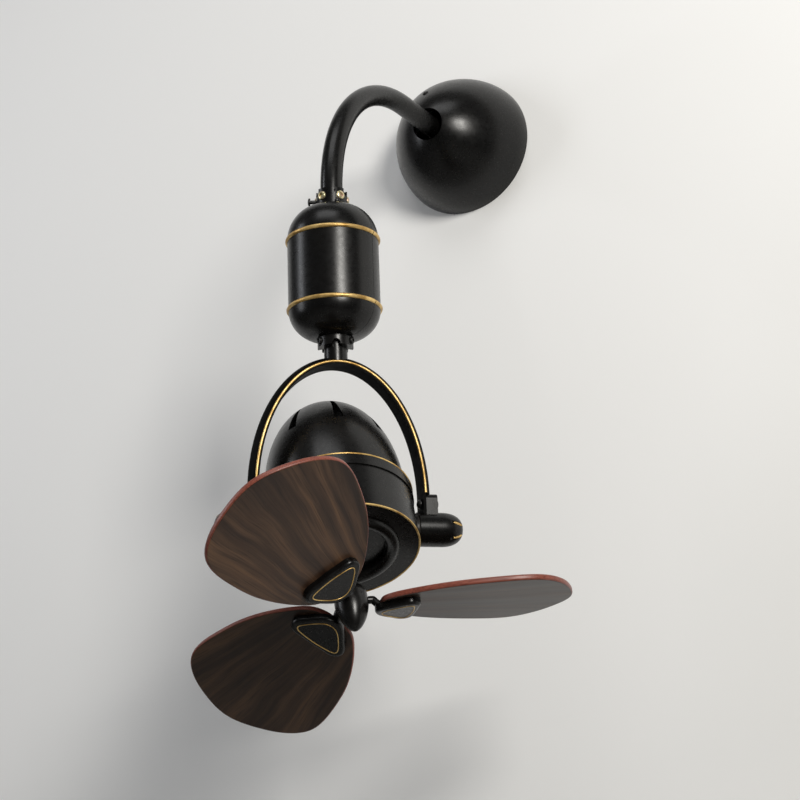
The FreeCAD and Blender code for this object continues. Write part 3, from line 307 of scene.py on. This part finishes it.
finishes = {name: plainMaterial(name) for name in plainFinishes}
finishes["satin_black_paint"] = paintMaterial("satin_black_paint", satinBlack)
finishes["flat_black_paint"] = paintMaterial("flat_black_paint", flatBlack)
finishes["gold_line_lacquer"] = goldMaterial()
for number in range(layout["bladeCount"]):
    finishes["lacquered_walnut_%d" % (number + 1)] = walnutMaterial(number)

# which finish each CAD piece has
dressing = {
    "flat_black_paint": ("yoke_arch", "yoke_inner_strip"),
    "satin_black_paint": ("wall_canopy", "arm_tube", "upper_collar", "stem_tube", "lower_collar",
                          "right_pivot_barrel", "left_pivot_barrel", "right_tilt_knob",
                          "left_tilt_knob", "motor_dome", "motor_drum", "motor_bottom_cover", "spinner_cap",
                          "blade_hub", "arm_flange", "gearbox_front_shell", "gearbox_rear_shell",
                          "blade_iron_1", "blade_iron_2", "blade_iron_3"),
    "zinc_plated_steel": ("wall_bracket", "canopy_post", "gearbox_top_plate", "gearbox_deck",
                          "gearbox_bottom_plate", "gearbox_posts", "trunnion_nuts", "end_plate_posts",
                          "motor_bearings", "gear_motor", "motor_end_plate"),
    "yellow_zinc_plate": ("flange_bolts", "upper_collar_bolts", "collar_flange_screws",
                          "gearbox_shell_screws", "arm_lock_screws"),
    "black_oxide_steel": ("canopy_screw", "upper_set_screws", "leg_clamp_screws", "leg_clamp_nuts",
                          "lower_collar_bolts", "housing_screws", "fan_screws", "trunnions"),
    "sintered_bronze": ("spindle_bushes", "drive_pinion", "slip_ring"),
    "enamelled_copper": ("stator_windings",),
    "core_laminations": ("stator_core", "rotor"),
    "black_phenolic": ("brush_block", "run_capacitor"),
    "natural_nylon": ("output_gear",),
    "dark_fibre": ("friction_washers",),
    "black_rubber": ("cable_grommet",),
}
for number in range(1, layout["bladeCount"] + 1):
    dressing["lacquered_walnut_%d" % number] = ("blade_%d" % number,)
for finish, names in dressing.items():
    for name in names:
        cad[name].data.materials.clear()
        cad[name].data.materials.append(finishes[finish])
print("finishes set on", sum(len(names) for names in dressing.values()), "CAD pieces")


# trim wire: a round line swept along the edges of a path
def trimTree():
    tree = bpy.data.node_groups.new("trimWire", "GeometryNodeTree")
    tree.interface.new_socket("Path", in_out="INPUT", socket_type="NodeSocketGeometry")
    tree.interface.new_socket("Wire Radius", in_out="INPUT", socket_type="NodeSocketFloat")
    tree.interface.new_socket("Wire Sides", in_out="INPUT", socket_type="NodeSocketInt")
    tree.interface.new_socket("Finish", in_out="INPUT", socket_type="NodeSocketMaterial")
    tree.interface.new_socket("Trim", in_out="OUTPUT", socket_type="NodeSocketGeometry")
    given = addNode(tree, "NodeGroupInput")
    line = addNode(tree, "GeometryNodeMeshToCurve", None, {"Mesh": given.outputs["Path"]})
    wire = {"Radius": given.outputs["Wire Radius"], "Resolution": given.outputs["Wire Sides"]}
    section = addNode(tree, "GeometryNodeCurvePrimitiveCircle", {"mode": "RADIUS"}, wire)
    swept = {"Curve": line.outputs["Curve"], "Profile Curve": section.outputs["Curve"], "Fill Caps": True}
    body = addNode(tree, "GeometryNodeCurveToMesh", None, swept)
    whole = addNode(tree, "GeometryNodeRealizeInstances", None, {"Geometry": body.outputs["Mesh"]})
    painted = {"Geometry": whole.outputs["Geometry"], "Material": given.outputs["Finish"]}
    done = addNode(tree, "GeometryNodeSetMaterial", None, painted)
    addNode(tree, "NodeGroupOutput", None, {"Trim": done.outputs["Geometry"]})
    return tree


def runTree(obj, tree, values):
    # bakes a node tree on obj to a plain mesh
    modifier = obj.modifiers.new("shape", "NODES")
    modifier.node_group = tree
    sockets = {item.name: item.identifier for item in tree.interface.items_tree if item.in_out == "INPUT"}
    for name, value in values.items():
        modifier[sockets[name]] = value
    ready = obj.evaluated_get(bpy.context.evaluated_depsgraph_get())
    mesh = bpy.data.meshes.new_from_object(ready)
    obj.modifiers.remove(modifier)
    obj.data = mesh
    return obj


def addObject(name, mesh):
    obj = bpy.data.objects.new(name, mesh)
    bpy.context.scene.collection.objects.link(obj)
    return obj


def finishMesh(obj, smoothAngle=40):
    mesh = obj.data
    work = bmesh.new()
    work.from_mesh(mesh)
    bmesh.ops.remove_doubles(work, verts=work.verts, dist=0.001 * mm)
    bmesh.ops.recalc_face_normals(work, faces=work.faces)
    work.to_mesh(mesh)
    work.free()
    mesh.polygons.foreach_set("use_smooth", [True] * len(mesh.polygons))
    mesh.set_sharp_from_angle(angle=math.radians(smoothAngle))
    mesh.update()


trimWire = trimTree()


def trim(name, paths, home, s, body):
    # paths are (points in mm, closed) in the frame home; s has the wire's radius and its count of sides
    points, edges = [], []
    for line, closed in paths:
        first = len(points)
        points += [home @ (Vector(p) * mm) for p in line]
        edges += [(first + k, first + k + 1) for k in range(len(line) - 1)]
        if closed:
            edges.append((first + len(line) - 1, first))
    mesh = bpy.data.meshes.new(name)
    mesh.from_pydata(points, edges, [])
    obj = addObject(name, mesh)
    wire = {"Wire Radius": s["wire"] * mm, "Wire Sides": s["sides"], "Finish": finishes["gold_line_lacquer"]}
    runTree(obj, trimWire, wire)
    finishMesh(obj)
    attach(obj, body)
    return obj


# gold line on the yoke's front outer corner
yokeLine = {"halfWidth": 80.0, "rise": 127.7, "centre": 30.1, "front": -11.5, "lowest": 33.0,
            "sink": 0.45, "wire": 1.2, "steps": 120, "sides": 10}


def yokeLinePath():
    s = yokeLine
    start = math.asin((s["lowest"] - s["centre"]) / s["rise"])
    angles = [start + (math.pi - 2 * start) * k / s["steps"] for k in range(s["steps"] + 1)]
    wide, tall = s["halfWidth"] - s["sink"], s["rise"] - s["sink"]
    return [(wide * math.cos(a), s["front"] + s["sink"], s["centre"] + tall * math.sin(a)) for a in angles]


trim("yoke_gold_line", [(yokeLinePath(), False)], yokeFrame, yokeLine, "yoke")


def onRing(radius, height, angles):
    return [(radius * math.cos(a), radius * math.sin(a), height) for a in angles]


# gold beads round the gearbox
gearboxBeads = {"radius": 43.8, "heights": (-211.4, -281.2), "seamGap": 0.45,
                "wire": 2.1, "steps": 90, "sides": 20}


def beadPaths():
    # each bead is two half rings that stop short of the seam between the shells
    s = gearboxBeads
    gap = s["seamGap"] / s["radius"]
    paths = []
    for height in s["heights"]:
        for half in (0, 1):
            first, last = math.pi * half + gap, math.pi * (half + 1) - gap
            angles = [first + (last - first) * k / s["steps"] for k in range(s["steps"] + 1)]
            paths.append((onRing(s["radius"], height, angles), False))
    return paths


trim("gearbox_gold_beads", beadPaths(), axisFrame, gearboxBeads, "wall_mount")

# gold lines round the motor, each by radius and height: the band's upper corner and the drum's lower rim
motorLines = {"rings": ((70.75, 30.5), (69.55, -26.05)), "wire": 1.0, "steps": 160, "sides": 10}
roundAngles = [2 * math.pi * k / motorLines["steps"] for k in range(motorLines["steps"])]
motorPaths = [(onRing(radius, height, roundAngles), True) for radius, height in motorLines["rings"]]
trim("motor_gold_lines", motorPaths, headFrame, motorLines, "motor_head")

# gold line inside the edge of each blade iron's pad: half of its outline, in the blade's own frame
padLine = {"half": ((26.0, 0.0), (29.0, 8.0), (40.5, 17.6), (48.3, 22.3), (52.2, 20.6), (53.8, 11.0),
                    (54.5, 0.0)),
           "height": -9.6, "roundings": 3, "cuts": (0.25, 0.75), "wire": 0.5, "sides": 10}


def padLinePath():
    s = padLine
    loop = list(s["half"]) + [(x, -y) for x, y in s["half"][-2:0:-1]]
    for rounding in range(s["roundings"]):
        # cuts every corner off at a quarter of its sides
        sides = zip(loop, loop[1:] + loop[:1])
        loop = [(ax + (bx - ax) * share, ay + (by - ay) * share)
                for (ax, ay), (bx, by) in sides for share in s["cuts"]]
    return [(x, y, s["height"]) for x, y in loop]


for number in range(layout["bladeCount"]):
    name = "pad_gold_line_%d" % (number + 1)
    trim(name, [(padLinePath(), True)], bladeFrame(number), padLine, "fan")
print("gold lines made")


# gold inlays repeated round a knob, one long bead in the bottom of each flute
def inlayTree():
    tree = bpy.data.node_groups.new("fluteInlays", "GeometryNodeTree")
    tree.interface.new_socket("Seed", in_out="INPUT", socket_type="NodeSocketGeometry")
    tree.interface.new_socket("Flutes", in_out="INPUT", socket_type="NodeSocketInt")
    tree.interface.new_socket("First Angle", in_out="INPUT", socket_type="NodeSocketFloat")
    tree.interface.new_socket("Middle", in_out="INPUT", socket_type="NodeSocketVector")
    tree.interface.new_socket("Lean", in_out="INPUT", socket_type="NodeSocketVector")
    tree.interface.new_socket("Half Sizes", in_out="INPUT", socket_type="NodeSocketVector")
    tree.interface.new_socket("Finish", in_out="INPUT", socket_type="NodeSocketMaterial")
    tree.interface.new_socket("Inlays", in_out="OUTPUT", socket_type="NodeSocketGeometry")
    given = addNode(tree, "NodeGroupInput")
    ball = addNode(tree, "GeometryNodeMeshUVSphere", None, {"Segments": 20, "Rings": 14, "Radius": 1.0})
    shaped = {"Geometry": ball.outputs["Mesh"], "Translation": given.outputs["Middle"],
              "Rotation": given.outputs["Lean"], "Scale": given.outputs["Half Sizes"]}
    inlay = addNode(tree, "GeometryNodeTransform", None, shaped)
    spots = addNode(tree, "GeometryNodePoints", None, {"Count": given.outputs["Flutes"]})
    step = {0: 2 * math.pi, 1: given.outputs["Flutes"]}
    step = addNode(tree, "ShaderNodeMath", {"operation": "DIVIDE"}, step)
    index = addNode(tree, "GeometryNodeInputIndex")
    angle = {0: index.outputs["Index"], 1: step.outputs["Value"], 2: given.outputs["First Angle"]}
    angle = addNode(tree, "ShaderNodeMath", {"operation": "MULTIPLY_ADD"}, angle)
    spin = addNode(tree, "ShaderNodeCombineXYZ", None, {"Z": angle.outputs["Value"]})
    copies = {"Points": spots.outputs[0], "Instance": inlay.outputs["Geometry"],
              "Rotation": spin.outputs["Vector"]}
    repeated = addNode(tree, "GeometryNodeInstanceOnPoints", None, copies)
    whole = addNode(tree, "GeometryNodeRealizeInstances", None, {"Geometry": repeated.outputs["Instances"]})
    painted = {"Geometry": whole.outputs["Geometry"], "Material": given.outputs["Finish"]}
    done = addNode(tree, "GeometryNodeSetMaterial", None, painted)
    addNode(tree, "NodeGroupOutput", None, {"Inlays": done.outputs["Geometry"]})
    return tree


# the bead's middle is its distance from the tilt axis and its place along it
knobInlays = {"flutes": 6, "firstAngle": -22.0, "middle": (11.77, 109.25), "lean": -30.65,
              "halfSizes": (1.1, 1.7, 5.6)}
fluteInlays = inlayTree()
for halfTurn, label in ((0, "right"), (180, "left")):
    s = knobInlays
    obj = addObject(label + "_knob_inlays", bpy.data.meshes.new(label + "_knob_inlays"))
    values = {"Flutes": s["flutes"], "First Angle": math.radians(s["firstAngle"])}
    values["Middle"] = (s["middle"][0] * mm, 0.0, s["middle"][1] * mm)
    values["Lean"] = (0.0, math.radians(s["lean"]), 0.0)
    values["Half Sizes"] = [size * mm for size in s["halfSizes"]]
    values["Finish"] = finishes["gold_line_lacquer"]
    runTree(obj, fluteInlays, values)
    obj.data.transform(knobFrame(halfTurn))
    finishMesh(obj)
    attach(obj, label + "_knob")
print("knob inlays made")


# screw heads with their recess, set on the seats that the CAD gives them
def screwTree():
    tree = bpy.data.node_groups.new("screwHeads", "GeometryNodeTree")
    tree.interface.new_socket("Seats", in_out="INPUT", socket_type="NodeSocketGeometry")
    tree.interface.new_socket("Head", in_out="INPUT", socket_type="NodeSocketObject")
    tree.interface.new_socket("Turn Each", in_out="INPUT", socket_type="NodeSocketFloat")
    tree.interface.new_socket("Finish", in_out="INPUT", socket_type="NodeSocketMaterial")
    tree.interface.new_socket("Screws", in_out="OUTPUT", socket_type="NodeSocketGeometry")
    given = addNode(tree, "NodeGroupInput")
    head = addNode(tree, "GeometryNodeObjectInfo", None, {"Object": given.outputs["Head"]})
    kind = {"data_type": "FLOAT_VECTOR"}
    outward = addNode(tree, "GeometryNodeInputNamedAttribute", kind, {"Name": "outward"})
    facing = {"Vector": outward.outputs["Attribute"]}
    facing = addNode(tree, "FunctionNodeAlignRotationToVector", {"axis": "Z"}, facing)
    spots = addNode(tree, "GeometryNodeMeshToPoints", None, {"Mesh": given.outputs["Seats"]})
    copies = {"Points": spots.outputs["Points"], "Instance": head.outputs["Geometry"],
              "Rotation": facing.outputs["Rotation"]}
    placed = addNode(tree, "GeometryNodeInstanceOnPoints", None, copies)
    index = addNode(tree, "GeometryNodeInputIndex")
    angle = {0: index.outputs["Index"], 1: given.outputs["Turn Each"]}
    angle = addNode(tree, "ShaderNodeMath", {"operation": "MULTIPLY"}, angle)
    spin = addNode(tree, "ShaderNodeCombineXYZ", None, {"Z": angle.outputs["Value"]})
    driven = {"Instances": placed.outputs["Instances"], "Rotation": spin.outputs["Vector"]}
    driven = addNode(tree, "GeometryNodeRotateInstances", None, driven)
    whole = addNode(tree, "GeometryNodeRealizeInstances", None, {"Geometry": driven.outputs["Instances"]})
    painted = {"Geometry": whole.outputs["Geometry"], "Material": given.outputs["Finish"]}
    done = addNode(tree, "GeometryNodeSetMaterial", None, painted)
    addNode(tree, "NodeGroupOutput", None, {"Screws": done.outputs["Geometry"]})
    return tree


# steps of a head's outline, its smoothing angle in degrees, and each recess's turn from the last in radians
headSteps = {"crown": 8, "around": 40, "smoothAngle": 30, "turnEach": 0.7}
# each recess by its half length, width and depth, in head radii
recessShapes = {"hexagon": (0.52, 0.52, 0.42), "cross": (0.62, 0.26, 0.34)}


def screwHead(s):
    # round head turned about z, seat at z = 0 and a short shank below; the crown is its upper half
    low = s["headHigh"] / 2
    crown = [(s["headRadius"] * math.cos(a), low + (s["headHigh"] - low) * math.sin(a))
             for a in (math.pi / 2 * k / headSteps["crown"] for k in range(headSteps["crown"]))]
    profile = [(s["shankRadius"], -s["shank"]), (s["shankRadius"], 0.0), (s["headRadius"], 0.0), *crown]
    around = headSteps["around"]
    work = bmesh.new()
    rows = []
    for r, z in profile:
        angles = [2 * math.pi * k / around for k in range(around)]
        rows.append([work.verts.new(Vector((r * math.cos(a), r * math.sin(a), z)) * mm) for a in angles])
    for below, above in zip(rows, rows[1:]):
        for k in range(around):
            n = (k + 1) % around
            work.faces.new((below[k], below[n], above[n], above[k]))
    foot = work.verts.new(Vector((0, 0, -s["shank"])) * mm)
    top = work.verts.new(Vector((0, 0, s["headHigh"])) * mm)
    for k in range(around):
        n = (k + 1) % around
        work.faces.new((rows[0][n], rows[0][k], foot))
        work.faces.new((rows[-1][k], rows[-1][n], top))
    mesh = bpy.data.meshes.new("screw_head")
    work.to_mesh(mesh)
    work.free()
    return addObject("screw_head", mesh)


def recessTool(s):
    # hexagon socket or cross, as a closed bit that cuts down from above
    long, wide, deep = (s["headRadius"] * k for k in recessShapes[s["recess"]])
    high = s["headHigh"] * 2
    bit = bmesh.new()
    if s["recess"] == "hexagon":
        size = {"segments": 6, "radius1": long * mm, "radius2": long * mm, "depth": high * mm}
        bmesh.ops.create_cone(bit, cap_ends=True, **size)
    else:
        for turn in (0, 90):
            shape = turnAbout("Z", turn) @ Matrix.Diagonal((long * 2 * mm, wide * mm, high * mm, 1.0))
            bmesh.ops.create_cube(bit, size=1.0, matrix=shape)
    bmesh.ops.translate(bit, verts=bit.verts, vec=(0, 0, (s["headHigh"] - deep + high / 2) * mm))
    mesh = bpy.data.meshes.new("recess_tool")
    bit.to_mesh(mesh)
    bit.free()
    return addObject("recess_tool", mesh)


def cutRecess(head, tool):
    cutter = head.modifiers.new("recess", "BOOLEAN")
    cutter.operation = "DIFFERENCE"
    cutter.solver = "EXACT"
    cutter.use_self = True
    cutter.object = tool
    ready = head.evaluated_get(bpy.context.evaluated_depsgraph_get())
    mesh = bpy.data.meshes.new_from_object(ready)
    head.modifiers.remove(cutter)
    head.data = mesh
    bpy.data.objects.remove(tool)


def aroundAxis(home, radius, height, first, count):
    # seats on a cylinder about z
    seats = []
    for k in range(count):
        turned = home @ turnAbout("Z", first + 360.0 * k / count)
        seats.append((turned @ (Vector((radius, 0, height)) * mm), turned.to_3x3() @ Vector((1, 0, 0))))
    return seats


def onFace(home, places, outward):
    return [(home @ (Vector(p) * mm), home.to_3x3() @ Vector(outward)) for p in places]


# seats of the heads, in millimetres and degrees, each in its own piece's frame
canopySeat = {"rho": 42.4, "height": 75.15, "angle": 102.4, "lean": 41.96}
lean = math.radians(canopySeat["lean"])
canopyHome = wallFrame @ turnAbout("Z", canopySeat["angle"])
canopyPlace = (canopySeat["rho"], 0, canopySeat["height"])
bladeSeats = ((33.0, 0.0, 2.6), (49.0, 13.0, 2.6), (49.0, -13.0, 2.6))
fanSeats = [onFace(bladeFrame(k), bladeSeats, (0, 0, 1)) for k in range(layout["bladeCount"])]
shellSeats = [(x, 7.0, z) for x in (-37.0, 37.0) for z in (-225.4, -267.2)]
screwSets = {
    "upper_collar_bolts": {
        "finish": "yellow_zinc_plate", "body": "wall_mount", "recess": "hexagon",
        "headRadius": 4.3, "headHigh": 2.8, "shankRadius": 2.4, "shank": 3.0,
        "seats": aroundAxis(axisFrame, radius=14.36, height=-168.0, first=-97.0, count=5)},
    "canopy_screw": {
        "finish": "black_oxide_steel", "body": "wall_mount", "recess": "cross",
        "headRadius": 3.4, "headHigh": 1.4, "shankRadius": 2.0, "shank": 3.0,
        "seats": onFace(canopyHome, [canopyPlace], (math.sin(lean), 0, math.cos(lean)))},
    "gearbox_shell_screws": {
        "finish": "yellow_zinc_plate", "body": "wall_mount", "recess": "cross",
        "headRadius": 2.6, "headHigh": 1.8, "shankRadius": 1.4, "shank": 3.0,
        "seats": onFace(axisFrame, shellSeats, (0, 1, 0))},
    "lower_collar_bolts": {
        "finish": "black_oxide_steel", "body": "yoke", "recess": "hexagon",
        "headRadius": 3.4, "headHigh": 2.6, "shankRadius": 1.9, "shank": 3.0,
        "seats": aroundAxis(axisFrame, radius=16.65, height=-314.3, first=4.2, count=3)},
    "leg_clamp_screws": {
        "finish": "black_oxide_steel", "body": "yoke", "recess": "hexagon",
        "headRadius": 4.6, "headHigh": 3.0, "shankRadius": 2.5, "shank": 3.0,
        "seats": aroundAxis(yokeFrame, radius=91.0, height=24.0, first=0.0, count=2)},
    "housing_screws": {
        "finish": "black_oxide_steel", "body": "motor_head", "recess": "cross",
        "headRadius": 2.6, "headHigh": 1.2, "shankRadius": 1.5, "shank": 2.5,
        "seats": aroundAxis(headFrame, radius=71.25, height=25.0, first=-35.0, count=3)},
    "fan_screws": {
        "finish": "black_oxide_steel", "body": "fan", "recess": "cross",
        "headRadius": 4.0, "headHigh": 2.0, "shankRadius": 2.0, "shank": 3.0,
        "seats": [seat for seats in fanSeats for seat in seats]},
}
screwHeads = screwTree()
for node, s in screwSets.items():
    head = screwHead(s)
    cutRecess(head, recessTool(s))
    mesh = bpy.data.meshes.new(node + "_heads")
    mesh.from_pydata([spot for spot, way in s["seats"]], [], [])
    ways = mesh.attributes.new("outward", "FLOAT_VECTOR", "POINT")
    ways.data.foreach_set("vector", [number for spot, way in s["seats"] for number in way])
    obj = addObject(node + "_heads", mesh)
    values = {"Head": head, "Turn Each": headSteps["turnEach"], "Finish": finishes[s["finish"]]}
    runTree(obj, screwHeads, values)
    bpy.data.objects.remove(head)
    finishMesh(obj, headSteps["smoothAngle"])
    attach(obj, s["body"])
    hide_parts(node)
print("screw heads made for", len(screwSets), "sets")


# pale wall behind the canopy and a pale floor far below
surround = {"wall": "#f0f0ef", "floor": "#9c9c9a", "wallBack": 0.4, "floorLevel": -1.6, "reach": 6.0,
            "grainScale": 3.0, "rough": (0.85, 0.95)}


def stagePlane(name, corners, colour, seeThroughBack):
    mesh = bpy.data.meshes.new(name)
    mesh.from_pydata(corners, [], [(0, 1, 2, 3)])
    obj = addObject(name, mesh)
    material, tree, shader, place = startMaterial(name + "_paint")
    feed = {"Vector": place, "Scale": surround["grainScale"], "Detail": 3.0}
    grain = addNode(tree, "ShaderNodeTexNoise", None, feed).outputs["Fac"]
    low, high = surround["rough"]
    span = {"Value": grain, "To Min": low, "To Max": high}
    rough = addNode(tree, "ShaderNodeMapRange", None, span).outputs["Result"]
    wireShader(tree, shader, {"Roughness": rough})
    shader.inputs["Base Color"].default_value = hexColour(colour)
    if seeThroughBack:
        clear = addNode(tree, "ShaderNodeBsdfTransparent").outputs["BSDF"]
        facing = addNode(tree, "ShaderNodeNewGeometry").outputs["Backfacing"]
        both = addNode(tree, "ShaderNodeMixShader", None, {0: facing, 1: shader.outputs["BSDF"], 2: clear})
        tree.links.new(both.outputs["Shader"], tree.nodes["Material Output"].inputs["Surface"])
    mesh.materials.append(material)
    return obj


far, back, level = surround["reach"], surround["wallBack"] * mm, surround["floorLevel"]
wallCorners = [(-far, back, level), (far, back, level), (far, back, far), (-far, back, far)]
stagePlane("stage_wall", wallCorners, surround["wall"], True)
floorCorners = [(-far, -far, level), (far, -far, level), (far, back, level), (-far, back, level)]
stagePlane("stage_floor", floorCorners, surround["floor"], False)

# soft boxes: place, what they point at, size, power, tone
lamps = {
    "key_softbox": {"place": (1.55, -1.60, 0.22), "aim": (0.0, -0.3, -0.35),
                    "size": (0.5, 0.7), "watts": 39.0, "tone": "#fffcf6"},
    "left_window": {"place": (-1.35, -1.15, 0.10), "aim": (0.0, -0.3, -0.40),
                    "size": (0.35, 1.3), "watts": 7.5, "tone": "#f8faff"},
    "top_fill": {"place": (0.2, -1.2, 1.3), "aim": (0.0, -0.2, -0.2),
                 "size": (1.2, 0.8), "watts": 8.0, "tone": "#ffffff"},
}
for name, s in lamps.items():
    light = bpy.data.lights.new(name, "AREA")
    light.shape = "RECTANGLE"
    light.size, light.size_y = s["size"]
    light.energy = s["watts"]
    light.color = hexColour(s["tone"])[:3]
    lamp = addObject(name, light)
    lamp.location = s["place"]
    lamp.rotation_euler = (Vector(s["aim"]) - Vector(s["place"])).to_track_quat("-Z", "Y").to_euler()
    lamp.visible_camera = False

skyLight = {"colour": "#ececec", "strength": 0.10}
world = bpy.data.worlds.new("studio")
world.use_nodes = True
world.node_tree.nodes["Background"].inputs["Color"].default_value = hexColour(skyLight["colour"])
world.node_tree.nodes["Background"].inputs["Strength"].default_value = skyLight["strength"]
bpy.context.scene.world = world

# camera at the photograph's place
viewpoint = {"place": (0.7710, -1.5556, -0.7947), "left": 29.2, "up": 15.98, "roll": -2.14,
             "lens": 73.68, "sensor": 36.0}
heading, rising, rolling = (math.radians(viewpoint[k]) for k in ("left", "up", "roll"))
ahead = Vector((-math.sin(heading), math.cos(heading), 0))
forward = ahead * math.cos(rising) + Vector((0, 0, math.sin(rising)))
right = Vector((math.cos(heading), math.sin(heading), 0))
upward = right.cross(forward)
rightRolled = right * math.cos(rolling) + upward * math.sin(rolling)
upRolled = upward * math.cos(rolling) - right * math.sin(rolling)
cameraData = bpy.data.cameras.new("photo_camera")
cameraData.lens = viewpoint["lens"]
cameraData.sensor_width = viewpoint["sensor"]
camera = addObject("photo_camera", cameraData)
axes = Matrix((rightRolled, upRolled, -forward)).transposed().to_4x4()
camera.matrix_world = Matrix.Translation(viewpoint["place"]) @ axes
bpy.context.scene.camera = camera
bpy.context.scene.view_settings.view_transform = "Standard"
print("stage, lights and camera set")
